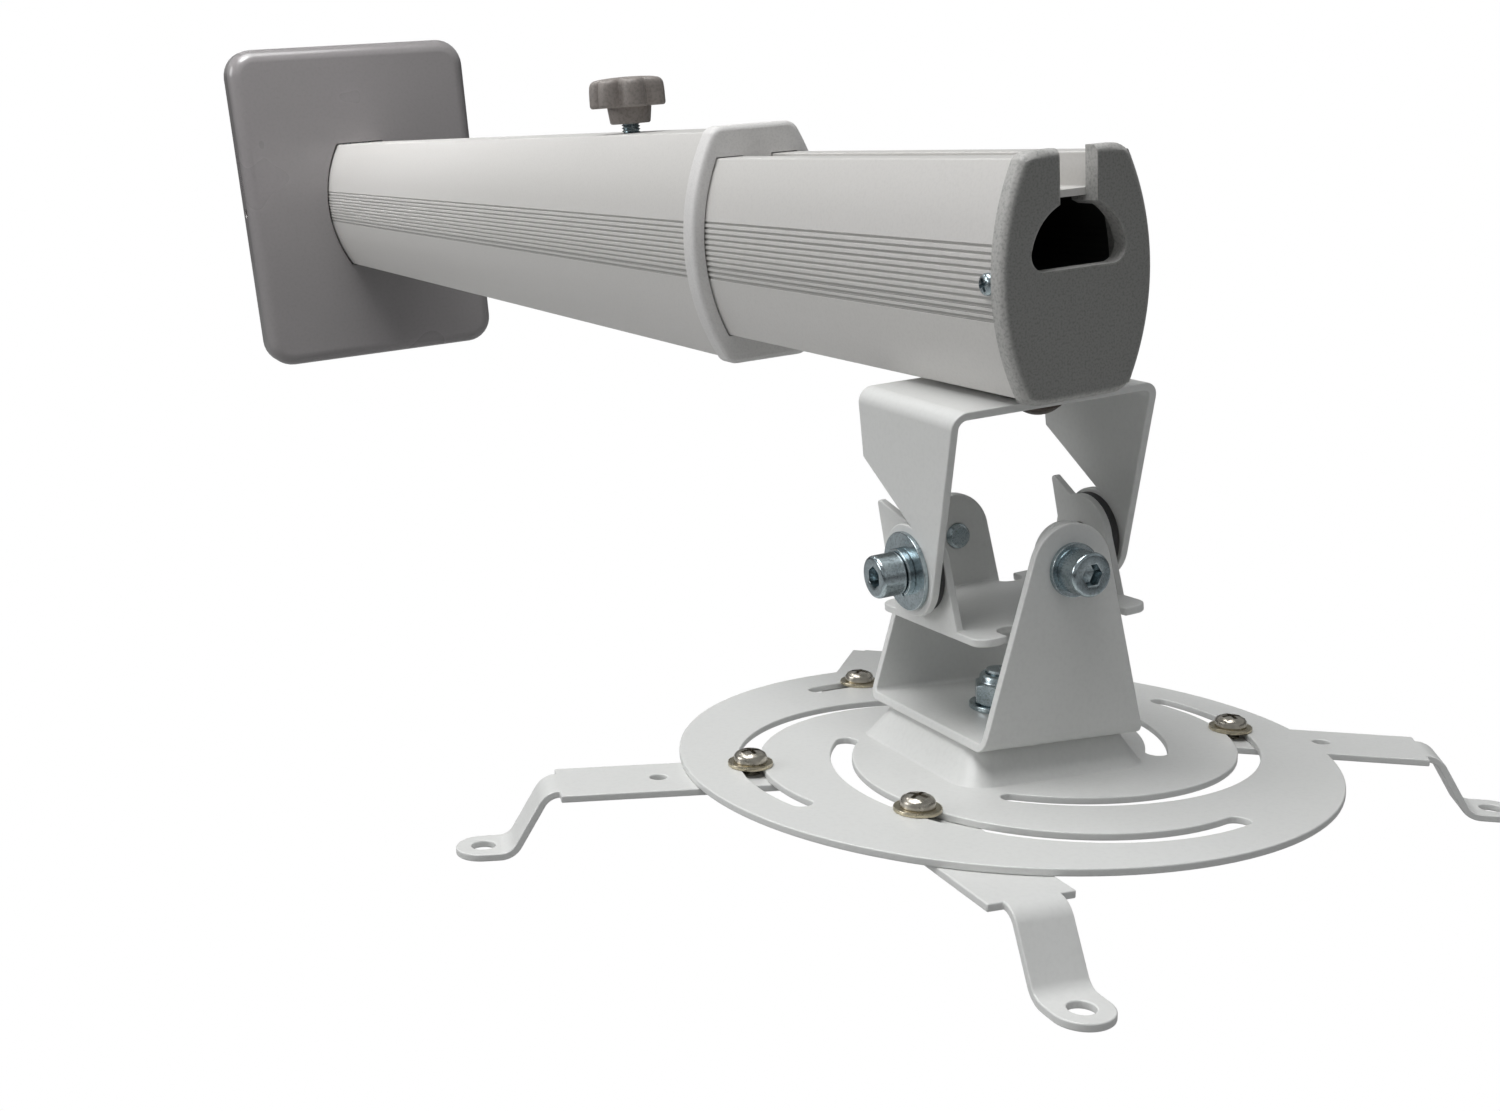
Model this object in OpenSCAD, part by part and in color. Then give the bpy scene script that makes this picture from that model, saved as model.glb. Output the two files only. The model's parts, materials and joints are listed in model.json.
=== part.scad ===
// Telescopic projector arm that is fixed to a wall: wall bracket with cover, clamped outer tube,
// sliding inner tube, two-way tilting head and a slotted disc with four adjustable legs.
// Wall at y = 0, arm towards -y, z up. The origin is the centre of the wall bolt pattern.

/* [Wall fixing] */
// Width of the steel wall plate
plate_w = 150; // [140:1:154]
// Height of the steel wall plate
plate_h = 196; // [180:1:204]
// Thickness of the steel wall plate
plate_t = 4; // [3:0.5:6]
// Distance between the wall bolts across
wall_bolt_dx = 110; // [90:1:120]
// Distance between the wall bolts up and down
wall_bolt_dz = 160; // [140:1:166]
// Diameter of the wall bolt holes
wall_bolt_d = 9; // [6:0.5:11]
// Length of the spigot that carries the outer tube
spigot_len = 60; // [40:1:90]
// Wall of the spigot
spigot_wall = 3; // [2:0.5:4]

/* [Wall cover] */
// Reach of the cover beyond each side of the plate
cover_side = 9; // [7:0.5:15]
// Reach of the cover beyond the plate's top and bottom
cover_ends = 12; // [8:0.5:20]
// Depth of the cover from the wall
cover_d = 22; // [20:1:30]
// Wall of the cover
cover_wall = 2.5; // [2:0.1:3]
// Corner radius of the cover seen from the front
cover_corner_r = 18; // [14:1:24]
// Rounding of the cover's front edge
cover_edge_r = 9; // [6:0.5:12]

/* [Outer tube] */
// Half height of the outer tube
outer_half_h = 42; // [40:0.5:46]
// Half width of the outer tube at mid height
outer_half_w = 27.2; // [26.5:0.1:32]
// Half width of the outer tube's flat top
outer_flat = 15.6; // [14:0.2:18]
// Wall of the outer tube
outer_wall = 2; // [1.6:0.1:2.2]
// Distance from the wall to the front face of the collar
collar_front = 631; // [560:1:660]
// Length of the collar's visible rim
collar_rim = 8; // [5:0.5:14]
// Height by which the collar's rim stands proud of the outer tube
collar_proud = 1.9; // [1:0.1:3]
// Length of the collar's skirt inside the outer tube
collar_skirt = 30; // [20:1:50]
// Depth of the collar's key in the inner tube's channel
collar_key = 6; // [3:0.5:8]

/* [Inner tube] */
// Gap between the two tubes at top and bottom
tube_gap_h = 7.5; // [7:0.1:10]
// Gap between the two tubes at mid height
tube_gap_w = 1.2; // [1:0.1:3]
// Half width of the inner tube's flat top
inner_flat = 16.5; // [15:0.1:17]
// Wall of the inner tube
inner_wall = 2; // [1.6:0.1:2.4]
// Distance from the wall to the front end of the inner tube
inner_front = 809; // [790:1:900]
// Length of the inner tube
inner_len = 560; // [520:1:580]
// Width of the channel along the top of the inner tube
channel_w = 12.6; // [12:0.1:14]
// Depth of the channel
channel_depth = 9.5; // [8:0.5:11]
// Number of decorative grooves on each side of both tubes
groove_n = 11; // [5:1:11]
// Distance from one groove to the next
groove_pitch = 2; // [1.8:0.1:2.2]
// Radius of one groove
groove_r = 0.55; // [0.4:0.05:0.7]
// Clearance between sliding faces
slide_gap = 0.35; // [0.3:0.05:0.5]

/* [End cap] */
// Thickness of the end cap in front of the tube
cap_t = 5; // [4:0.5:8]
// Height by which the end cap stands proud of the inner tube
cap_proud = 1.8; // [1.2:0.1:2.4]
// Radius of the cable opening
keyhole_r = 16.2; // [14:0.1:17]
// Height of the cable opening's centre
keyhole_z = 4.6; // [3:0.1:6]
// Height of the cable opening's flat sill
keyhole_sill = 2.3; // [1:0.1:3]
// Corner radius at the ends of the sill
keyhole_corner = 4.6; // [4:0.1:5]
// Length of the cap's plug inside the tube
plug_len = 6; // [5:0.5:6]
// Wall of the cap's plug
plug_wall = 2.6; // [2:0.1:3]

/* [Clamp knob] */
// Distance from the wall to the clamp knob
knob_y = 515; // [440:1:530]
// Diameter of the knob over its lobes
knob_d = 34; // [28:0.5:40]
// Number of lobes
knob_lobes = 7; // [5:1:9]
// Height of the knob's head
knob_head_h = 12.6; // [10:0.1:16]
// Height of the knob's hub
knob_hub_h = 7; // [5:0.5:9]
// Height of the hub above the outer tube when tight
knob_lift = 4; // [3:0.5:6]
// Thread diameter of the clamp stud
stud_d = 8; // [6:1:8]
// Height of the pressing shoe
shoe_h = 5; // [4:0.5:6]

/* [Head] */
// Distance from the wall to the swivel bolt
swivel_y = 795; // [780:1:795]
// Distance from the swivel bolt back to the tilt axis
tilt_back = 18; // [10:1:20]
// Depth of the tilt axis below the top face of the upper yoke
tilt_drop = 51.9; // [50:0.1:60]
// Swivel of the head at rest in degrees
rest_yaw = -3; // [-8:0.5:8]
// Forward tilt of the head at rest in degrees
rest_pitch = -4; // [-8:0.5:8]
// Sideways roll of the head at rest in degrees
rest_roll = 6.5; // [-8:0.5:8]
// Thickness of the yokes' steel sheet
sheet_t = 2.5; // [2:0.1:3]
// Half width of the upper yoke
yoke_half_w = 34.8; // [33:0.1:38]
// Reach of the upper yoke in front of the tilt axis
yoke_fore = 28.2; // [26:0.2:32]
// Reach of the upper yoke behind the tilt axis
yoke_aft = 27; // [24:0.2:30]
// Height of the upper yoke's straight rear edge
yoke_rear_edge = 21.5; // [16:0.5:26]
// Inset of the upper yoke's rear corner
yoke_rear_in = 1.8; // [0:0.2:4]
// Radius of the upper yoke's rounded ends
yoke_tip_r = 14.2; // [13:0.1:16]
// Thickness of the spacers between upper yoke and cross piece
spacer_t = 2.4; // [1.6:0.1:3]
// Height of the cross piece's floor below its axes
cross_drop = 16.5; // [15:0.5:18]
// Half width of the cross piece's front and rear ears at the top
cross_ear_r = 9.6; // [9:0.1:11]
// Half width of the cross piece's front and rear ears at the floor
cross_ear_root = 12; // [11.6:0.2:14]
// Radius of the cross piece's side ears
cross_side_r = 13; // [12:0.1:14]
// Corner radius of the cross piece's floor
cross_corner_r = 5; // [3:0.5:8]
// Radius of the bend reliefs beside the front and rear ears
relief_r = 4.6; // [3:0.1:5]
// Half distance between the lower yoke's outer faces
low_half_l = 33.6; // [33.4:0.1:38]
// Half width of the lower yoke's base
low_half_w = 28.2; // [26:0.2:30]
// Depth of the lower yoke's base below the roll axis
low_drop = 52.3; // [50:0.5:58]
// Radius of the lower yoke's rounded ears
low_ear_r = 13.5; // [12.5:0.1:15]

/* [Fasteners] */
// Thread diameter of the swivel, tilt and roll bolts
bolt_d = 8; // [6:1:8]
// Diameter of the socket heads
socket_head_d = 13; // [12:0.1:13.5]
// Width across flats of the hex sockets
socket_af = 6; // [5:0.5:6.5]
// Diameter of the large washer on the left tilt bolt
big_washer_d = 24; // [20:0.5:26]
// Diameter of the other washers
washer_d = 16; // [15:0.5:17]
// Thickness of the washers
washer_t = 1.6; // [1.2:0.1:2]
// Thickness of the spring washer on the left tilt bolt
spring_t = 2.4; // [2:0.1:2.8]
// Thread diameter of the disc bolt
disc_bolt_d = 10; // [8:1:10]
// Radial running clearance of the turning joints
run_gap = 0.05; // [0.03:0.01:0.08]

/* [Disc] */
// Radius of the disc
disc_r = 100.5; // [96:0.5:110]
// Thickness of the disc
disc_t = 2.2; // [1.8:0.1:2.5]
// Height of the pressed boss
boss_h = 10.2; // [9:0.2:12]
// Half width of the boss at its top
boss_top = 26; // [24:0.5:28]
// Half width of the boss at its foot
boss_foot = 33; // [31:0.5:34]
// Turn of the slots about the disc's centre in degrees
slot_phase = 151; // [140:1:160]
// Distance of a slot's inner end from the centre
slot_r_in = 47.8; // [45:0.5:50]
// Distance of a slot's middle from the centre
slot_r_mid = 68; // [66:0.5:70]
// Distance of a slot's outer end from the centre
slot_r_out = 84; // [78:0.5:86]
// Angle that a slot covers about the centre
slot_sweep = 135; // [120:1:138]
// Width of the slots
slot_w = 6.6; // [6.4:0.1:7]

/* [Legs] */
// Place of each leg's screw along its slot, from 0 at the inner end to 1
leg_travel = [0.42, 0.78, 0.89, 0.78]; // [0:0.01:1]
// Direction of each leg in degrees
leg_angle = [-92, -35, 52, 167.5]; // [-180:1:180]
// Width of a leg's wide part
leg_w = 25; // [22:0.5:28]
// Width of a leg's narrow part
leg_narrow = 16; // [14:0.5:18]
// Thickness of a leg
leg_t = 2.2; // [1.8:0.1:2.5]
// Distance from the leg's screw to the end of its wide part
leg_reach = 58; // [50:1:66]
// Distance from the leg's screw to its foot hole
leg_foot = 80; // [78:1:96]
// Length of the leg behind its screw
leg_back = 11; // [9:0.5:13]
// Height by which the foot lies lower
leg_drop = 18; // [14:0.5:24]
// Slope of the leg's bend in degrees
leg_slope = 60; // [50:1:70]
// Middle radius of the leg's bends
leg_bend_r = 6; // [5:0.5:7]
// Diameter of the foot hole
foot_hole_d = 7; // [5:0.5:8]
// Distance from the leg's screw to its spare threaded hole
spare_hole = 28; // [24:1:34]
// Thread diameter of the leg screws
leg_screw_d = 6; // [5:1:6]
// Diameter of the leg screws' heads
leg_head_d = 11; // [10:0.5:12]
// Diameter of the leg screws' washers
leg_washer_d = 13.6; // [12:0.2:15]

/* [Hidden] */
$fn = 64;

white = [0.86, 0.86, 0.85];
grey_cap = [0.35, 0.35, 0.34];
knob_grey = [0.36, 0.33, 0.31];
zinc = [0.62, 0.68, 0.70];
yellow_zinc = [0.72, 0.66, 0.38];
dark = [0.18, 0.17, 0.16];
nylon = [0.80, 0.80, 0.76];

eps = 0.01;
seat_gap = 0.3;
big = 400;

// Small self-tapping screws of the covers, guides and caps
tapping_d = 3.6;
tapping_head_d = 6.4;
tapping_head_h = 2;
tapping_len = 9;
short_len = 6;
washer_play = 0.4;
hole_play = 0.6;
cover_gap = 0.8;
plug_play = 0.1;
cross_recess = 0.9;
head_ledge = 0.25;

// Sizes that follow from others: a wall takes this share of its thickness off a flat's half width
flat_share = 0.7;
cover_w = plate_w + 2 * cover_side;
cover_h = plate_h + 2 * cover_ends;

// Tube sections
outer_in_h = outer_half_h - outer_wall;
outer_in_w = outer_half_w - outer_wall;
outer_in_flat = outer_flat - outer_wall * flat_share;
inner_half_h = outer_in_h - tube_gap_h;
inner_half_w = outer_in_w - tube_gap_w;
inner_in_h = inner_half_h - inner_wall;
inner_in_w = inner_half_w - inner_wall;
inner_in_flat = inner_flat - inner_wall * flat_share;
channel_floor = inner_half_h - channel_depth;
outer_front = collar_front - collar_rim;
inner_rear = inner_front - inner_len;
tube_screw_in = 9;
tube_screw_y = plate_t + tube_screw_in;
collar_screw_y = outer_front - collar_skirt / 2;
guide_plug = 15;
guide_rim = 12;
guide_wall = 4;
guide_screw_y = inner_rear + guide_plug / 2;
cap_screw_y = inner_front - plug_len / 2;
cap_h = inner_half_h + cap_proud;
cap_w = inner_half_w + cap_proud;
cap_flat = inner_flat + cap_proud * 0.4;
cap_edge = 2.4;

// Clamp
nut_h = 0.8 * stud_d;
nut_af = 1.625 * stud_d;
stud_top = outer_half_h + knob_lift + knob_hub_h + knob_head_h * 0.6;
shoe_d = channel_w - 2;
stud_tip_d = 0.6 * stud_d;
stud_tip_h = 3;

// Head
swivel_washer_t = cap_proud + seat_gap;
yoke_top = -inner_half_h - swivel_washer_t;
tilt_z = yoke_top - tilt_drop;
bend_r = 2 * sheet_t;
socket_head_h = bolt_d;
wing_in = yoke_half_w - sheet_t;
cross_half_w = wing_in - spacer_t;
cross_half_l = low_half_l - sheet_t - seat_gap;
cross_floor = -cross_drop;
low_bend_r = 1.6 * sheet_t;
button_h = 4;
button_d = 1.65 * bolt_d;
tilt_head_h = 5.5;
film = 0.02;
disc_top = -low_drop - film - boss_h;
slot_gap_r = leg_screw_d / 2 + run_gap;

// Points on the disc: polar, and the circle through three points
function polar(r, a) = [r * cos(a), r * sin(a)];
function circle_centre(a, b, c) =
    let (d = 2 * (a[0] * (b[1] - c[1]) + b[0] * (c[1] - a[1]) + c[0] * (a[1] - b[1])),
        a2 = a * a, b2 = b * b, c2 = c * c)
    [(a2 * (b[1] - c[1]) + b2 * (c[1] - a[1]) + c2 * (a[1] - b[1])) / d,
     (a2 * (c[0] - b[0]) + b2 * (a[0] - c[0]) + c2 * (b[0] - a[0])) / d];
function angle_of(p) = atan2(p[1], p[0]);
slot_in = polar(slot_r_in, 0);
slot_out = polar(slot_r_out, slot_sweep);
slot_centre = circle_centre(slot_in, polar(slot_r_mid, slot_sweep / 2), slot_out);
slot_arc_r = norm(slot_in - slot_centre);
slot_a0 = angle_of(slot_in - slot_centre);
slot_a1 = angle_of(slot_out - slot_centre);
slot_turn = [for (i = [0:3]) slot_phase + 90 * i];
function turned(p, a) = [p[0] * cos(a) - p[1] * sin(a), p[0] * sin(a) + p[1] * cos(a)];
function leg_at(i) =
    turned(slot_centre + polar(slot_arc_r, slot_a0 + (slot_a1 - slot_a0) * leg_travel[i]), slot_turn[i]);

// Leg bend worked out from its drop, slope and radius
leg_flank = (leg_drop - 2 * leg_bend_r * (1 - cos(leg_slope))) / sin(leg_slope);
leg_bend_len = 2 * leg_bend_r * sin(leg_slope) + leg_flank * cos(leg_slope);

// The tangent point on a circle of radius r at the origin, seen from point p
function tangent(p, r, side) = polar(r, angle_of(p) + side * acos(r / norm(p)));

// Section of both tubes: flat top and bottom, sides bowed outwards
function bow_r(w, flat, h) = (h * h + (w - flat) * (w - flat)) / (2 * (w - flat));
module barrel(w, flat, h) {
    r = bow_r(w, flat, h);
    intersection() {
        translate([w - r, 0]) circle(r, $fn = 180);
        translate([r - w, 0]) circle(r, $fn = 180);
        square([2 * w, 2 * h], center = true);
    }
}

// Fine grooves along both bowed sides
module grooves(w, flat, h) {
    r = bow_r(w, flat, h);
    for (side = [-1, 1], i = [0:groove_n - 1]) {
        z = (i - (groove_n - 1) / 2) * groove_pitch;
        translate([side * (w - r + sqrt(r * r - z * z)), z]) circle(groove_r, $fn = 12);
    }
}

// Draws a section in x and z, from distance a to distance b in front of the wall
module along(a, b) {
    translate([0, -a, 0]) rotate([90, 0, 0]) linear_extrude(b - a) children();
}

// A cylinder along x, y or z from the origin
module rod_x(d, l) { rotate([0, 90, 0]) cylinder(d = d, h = l); }
module rod_y(d, l) { rotate([-90, 0, 0]) cylinder(d = d, h = l); }

// A small pan-head screw that points along -z with its head on the z = 0 plane
module pan_screw(d, l, head_d, head_h) {
    difference() {
        union() {
            translate([0, 0, -l]) cylinder(d = d, h = l + eps, $fn = 32);
            pan_head(head_d, head_h);
        }
        for (a = [0, 90]) rotate([0, 0, a])
            translate([-head_d * 0.28, -cross_recess / 2, head_h * 0.45]) cube([head_d * 0.56, cross_recess, head_h]);
    }
}
module pan_head(head_d, head_h) {
    r = head_d / 2;
    rotate_extrude($fn = 48) intersection() {
        square([r, head_h * 0.985]);
        union() {
            square([r, head_h * 0.35]);
            translate([0, head_h * 0.35 - eps]) dome_profile(r - head_ledge, head_h * 0.65 + eps);
        }
    }
}
// Spherical cap of radius r at its foot and height h, as a half section
module dome_profile(r, h) {
    s = (r * r + h * h) / (2 * h);
    intersection() {
        translate([0, h - s]) circle(s, $fn = 96);
        square([r, h]);
    }
}
module tapping_screw() { pan_screw(tapping_d, tapping_len, tapping_head_d, tapping_head_h); }

// A washer whose lower face lies on z = 0
module washer(od, id, t) {
    difference() {
        cylinder(d = od, h = t);
        translate([0, 0, -eps]) cylinder(d = id, h = t + 2 * eps);
    }
}

// A hexagon nut with chamfered corners, its lower face on z = 0
module hex_nut(af, id, h) {
    difference() {
        intersection() {
            cylinder(r = af / sqrt(3), h = h, $fn = 6);
            rotate_extrude($fn = 48) polygon([[0, 0], [af * 0.5, 0], [af / sqrt(3), af * 0.05],
                [af / sqrt(3), h - af * 0.05], [af * 0.5, h], [0, h]]);
        }
        translate([0, 0, -eps]) cylinder(d = id, h = h + 2 * eps);
    }
}
// A lock nut: hexagon with a round collar that holds the nylon ring
module lock_nut(af, id, h) {
    hex_nut(af, id, h * 0.72);
    translate([0, 0, h * 0.72]) difference() {
        cylinder(d1 = af * 0.98, d2 = af * 0.86, h = h * 0.28);
        translate([0, 0, -eps]) cylinder(d = id, h = h);
    }
}

// A socket-head bolt along +z, the head's underside on z = 0 and the shank below it
module socket_bolt(d, head_d, l) {
    h = d;
    difference() {
        union() {
            rotate_extrude($fn = 64) polygon([[0, 0], [head_d / 2, 0], [head_d / 2, h * 0.93],
                [head_d / 2 - h * 0.07, h], [0, h]]);
            translate([0, 0, -l]) cylinder(d = d, h = l + eps);
            translate([0, 0, -l - d * 0.08]) cylinder(d1 = d * 0.84, d2 = d, h = d * 0.08 + eps);
        }
        translate([0, 0, h * 0.45]) cylinder(r = socket_af / sqrt(3), h = h, $fn = 6);
    }
}

// Places of the head's parts
module at_swivel() { translate([0, -swivel_y, 0]) rotate([0, 0, rest_yaw]) children(); }
module at_tilt() { at_swivel() translate([0, tilt_back, tilt_z]) children(); }
module at_cross() { at_tilt() rotate([rest_pitch, 0, 0]) children(); }
module at_roll() { at_cross() rotate([0, rest_roll, 0]) children(); }
module at_disc() { at_roll() translate([0, 0, disc_top]) children(); }
module at_leg(i) { at_disc() translate([leg_at(i)[0], leg_at(i)[1], 0]) rotate([0, 0, leg_angle[i]]) children(); }

// Wall bracket: plate, side lugs for the cover and the spigot in the outer tube
lug_t = 2.5;
lug_h = 18;
lug_reach = cover_w / 2 - cover_wall - seat_gap;
lug_len = cover_d - cover_edge_r;
lug_root = plate_w / 4;
cover_screw_y = lug_len - tapping_head_d / 2 - 0.8;
cover_screw_sink = 1.4;
plate_corner_r = 10;
module wall_bracket() {
    color(zinc) difference() {
        union() {
            rounded_plate(plate_w, plate_h, plate_t, plate_corner_r);
            for (side = [-1, 1]) {
                translate([side * (lug_reach + lug_root) / 2, -plate_t / 2, 0])
                    cube([lug_reach - lug_root, plate_t, lug_h], center = true);
                translate([side * (lug_reach - lug_t / 2), -lug_len / 2, 0])
                    cube([lug_t, lug_len, lug_h], center = true);
            }
            along(plate_t - eps, plate_t + spigot_len)
                barrel(outer_in_w - seat_gap, outer_in_flat - seat_gap, outer_in_h - seat_gap);
        }
        along(-eps, plate_t + spigot_len + eps) barrel(outer_in_w - seat_gap - spigot_wall,
            outer_in_flat - seat_gap - spigot_wall * flat_share, outer_in_h - seat_gap - spigot_wall);
        for (x = [-1, 1], z = [-1, 1])
            translate([x * wall_bolt_dx / 2, -plate_t - 1, z * wall_bolt_dz / 2]) rod_y(wall_bolt_d, plate_t + 2);
        for (side = [-1, 1]) {
            translate([side * (lug_reach - lug_t - 1) - (side < 0 ? lug_t + 2 : 0), -cover_screw_y, 0])
                rod_x(tapping_d, lug_t + 2);
            for (x = [-1, 1]) translate([x * outer_in_flat / 2, -tube_screw_y, side * outer_in_h - tapping_len])
                cylinder(d = tapping_d, h = 2 * tapping_len);
        }
    }
}
module rounded_plate(w, h, t, r) {
    rotate([90, 0, 0]) linear_extrude(t) difference() {
        square([w, h], center = true);
        for (x = [-1, 1], z = [-1, 1]) translate([x * w / 2, z * h / 2]) difference() {
            square(2 * r, center = true);
            translate([-x * r, -z * r]) circle(r);
        }
    }
}

// Moulded cover over the wall plate, open at the back
module soft_box(w, h, d, corner, edge) {
    hull() for (x = [-1, 1], z = [-1, 1])
        translate([x * (w / 2 - corner), 0, z * (h / 2 - corner)]) rotate([90, 0, 0])
            rotate_extrude($fn = 32) {
                square([corner, d - edge]);
                square([corner - edge, d]);
                translate([corner - edge, d - edge]) intersection() {
                    circle(edge, $fn = 32);
                    square(edge);
                }
            }
}
module wall_cover() {
    color(white) difference() {
        soft_box(cover_w, cover_h, cover_d, cover_corner_r, cover_edge_r);
        translate([0, eps, 0]) soft_box(cover_w - 2 * cover_wall, cover_h - 2 * cover_wall,
            cover_d - cover_wall, cover_corner_r - cover_wall, cover_edge_r - cover_wall);
        along(cover_d / 2, cover_d + 1)
            barrel(outer_half_w + cover_gap, outer_flat + cover_gap, outer_half_h + cover_gap);
        for (side = [-1, 1]) translate([side * cover_w / 2, -cover_screw_y, 0]) {
            translate([-2 * cover_wall, 0, 0]) rod_x(tapping_d + hole_play, 4 * cover_wall);
            translate([side > 0 ? -cover_screw_sink : cover_screw_sink - cover_edge_r, 0, 0])
                rod_x(tapping_head_d + hole_play, cover_edge_r);
        }
    }
}
module cover_screws() {
    color(dark) for (side = [-1, 1])
        translate([side * (cover_w / 2 - cover_screw_sink), -cover_screw_y, 0]) rotate([0, side * 90, 0])
            pan_screw(tapping_d, short_len, tapping_head_d, cover_screw_sink - 0.2);
}
module tube_screws() {
    color(zinc) for (side = [-1, 1], x = [-1, 1])
        translate([x * outer_in_flat / 2, -tube_screw_y, side * outer_half_h]) rotate([side > 0 ? 0 : 180, 0, 0])
            tapping_screw();
}

// Extruded outer tube
module outer_tube() {
    color(white) difference() {
        along(plate_t, outer_front) difference() {
            barrel(outer_half_w, outer_flat, outer_half_h);
            barrel(outer_in_w, outer_in_flat, outer_in_h);
            grooves(outer_half_w, outer_flat, outer_half_h);
        }
        translate([0, -knob_y, outer_half_h - 2 * outer_wall]) cylinder(d = stud_d + 2 * hole_play, h = 4 * outer_wall);
        for (side = [-1, 1], x = [-1, 1])
            translate([x * outer_in_flat / 2, -tube_screw_y, side * outer_half_h - 4]) cylinder(d = tapping_d, h = 8);
        for (x = [-1, 1])
            translate([x * outer_in_flat / 2, -collar_screw_y, -outer_half_h - 4]) cylinder(d = tapping_d, h = 8);
    }
}

// Moulded collar at the mouth of the outer tube; its key runs in the inner tube's channel
module collar() {
    key_w = channel_w - 2 * slide_gap;
    color(white) difference() {
        union() {
            collar_rim_body();
            along(outer_front - collar_skirt, outer_front)
                barrel(outer_in_w - plug_play, outer_in_flat - plug_play, outer_in_h - plug_play);
        }
        along(outer_front - collar_skirt - 1, collar_front + 1) difference() {
            barrel(inner_half_w + slide_gap, inner_flat + slide_gap, inner_half_h + slide_gap);
            translate([-key_w / 2, inner_half_h - collar_key]) square([key_w, 2 * collar_key]);
        }
        for (x = [-1, 1]) translate([x * outer_in_flat / 2, -collar_screw_y, -outer_half_h - 1])
            cylinder(d = tapping_d, h = outer_wall + tapping_len);
    }
}
// The rim, with its front edge stepped back in small rounds
module collar_rim_body() {
    steps = 4;
    round_r = 2;
    for (i = [0:steps]) {
        a = 90 * i / steps;
        inset = round_r * (1 - cos(a));
        along(outer_front, collar_front - round_r * (1 - sin(a)))
            barrel(outer_half_w + collar_proud - inset, outer_flat + collar_proud / 2 - inset,
                outer_half_h + collar_proud - inset);
    }
}
module collar_screws() {
    color(zinc) for (x = [-1, 1])
        translate([x * outer_in_flat / 2, -collar_screw_y, -outer_half_h]) rotate([180, 0, 0])
            pan_screw(tapping_d, outer_wall + short_len - 1, tapping_head_d, tapping_head_h);
}

// Clamp: nut under the tube's top wall, stud with knob, and the shoe that presses on the channel
module clamp_nut() {
    color(zinc) translate([0, -knob_y, outer_in_h - nut_h]) hex_nut(nut_af, stud_d + 2 * run_gap, nut_h);
}
module clamp_shoe() {
    color(nylon) translate([0, -knob_y, channel_floor]) difference() {
        cylinder(d = shoe_d, h = shoe_h);
        translate([0, 0, shoe_h - stud_tip_h - seat_gap]) cylinder(d = stud_tip_d + 2 * run_gap, h = stud_tip_h + 1);
    }
}
module clamp_stud() {
    color(zinc) translate([0, -knob_y, channel_floor + shoe_h]) {
        cylinder(d = stud_d, h = stud_top - channel_floor - shoe_h);
        translate([0, 0, -stud_tip_h]) cylinder(d = stud_tip_d, h = stud_tip_h + eps);
    }
}
module clamp_knob() {
    lobe_r = knob_d * 0.135;
    core_r = knob_d / 2 - lobe_r;
    hub_d = knob_d * 0.52;
    edge = 1.5;
    color(knob_grey) translate([0, -knob_y, outer_half_h + knob_lift]) difference() {
        union() {
            cylinder(d1 = hub_d, d2 = hub_d * 1.1, h = knob_hub_h + eps);
            translate([0, 0, knob_hub_h]) intersection() {
                linear_extrude(knob_head_h) {
                    circle(core_r);
                    for (i = [0:knob_lobes - 1]) rotate(i * 360 / knob_lobes)
                        translate([core_r, 0]) circle(lobe_r, $fn = 40);
                }
                rotate_extrude($fn = 72) knob_profile(knob_d / 2, knob_head_h, edge);
            }
        }
        translate([0, 0, -1]) cylinder(d = stud_d, h = stud_top - outer_half_h - knob_lift + 1);
    }
}
module knob_profile(r, h, edge) {
    polygon([[0, 0], [r - edge, 0], [r, edge], [r, h * 0.62], [r - edge * 0.6, h * 0.78],
        [r * 0.72, h * 0.92], [r * 0.4, h * 0.98], [0, h]]);
}

// Extruded inner tube with a channel along its top
module inner_section() {
    difference() {
        barrel(inner_half_w, inner_flat, inner_half_h);
        grooves(inner_half_w, inner_flat, inner_half_h);
        translate([-channel_w / 2, channel_floor]) square([channel_w, inner_half_h]);
        inner_hollow(0);
    }
}
module inner_hollow(shrink) {
    side = channel_w / 2 + inner_wall + shrink;
    difference() {
        barrel(inner_in_w - shrink, inner_in_flat - shrink, inner_in_h - shrink);
        translate([-side, channel_floor - inner_wall - shrink]) square([2 * side, inner_half_h]);
    }
}
module inner_tube() {
    color(white) difference() {
        along(inner_rear, inner_front) inner_section();
        translate([0, -swivel_y, -inner_half_h - 1]) cylinder(d = bolt_d + hole_play, h = inner_wall + 2);
        for (side = [-1, 1]) translate([side * inner_half_w - 4, -cap_screw_y, 0]) rod_x(tapping_d, 8);
        for (x = [-1, 1]) translate([x * inner_in_flat / 2, -guide_screw_y, -inner_half_h - 2])
            cylinder(d = tapping_d, h = 6);
    }
}

// Moulded guide on the rear end of the inner tube: it runs inside the outer tube
module rear_guide() {
    color(nylon) difference() {
        union() {
            along(inner_rear - guide_rim, inner_rear)
                barrel(outer_in_w - slide_gap, outer_in_flat - slide_gap, outer_in_h - slide_gap);
            along(inner_rear, inner_rear + guide_plug) inner_hollow(plug_play);
        }
        along(inner_rear - guide_rim - 1, inner_rear + guide_plug + 1)
            barrel(inner_in_w - guide_wall, inner_in_flat - guide_wall, channel_floor - inner_wall - guide_wall);
        translate([-channel_w / 2, -inner_rear - 1, channel_floor]) cube([channel_w, guide_rim + 2, big]);
        for (x = [-1, 1]) translate([x * inner_in_flat / 2, -guide_screw_y, -inner_half_h - 1])
            cylinder(d = tapping_d, h = short_len + 2);
    }
}
module guide_screws() {
    color(zinc) for (x = [-1, 1])
        translate([x * inner_in_flat / 2, -guide_screw_y, -inner_half_h]) rotate([180, 0, 0])
            pan_screw(tapping_d, short_len, tapping_head_d, tapping_head_h);
}

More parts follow.
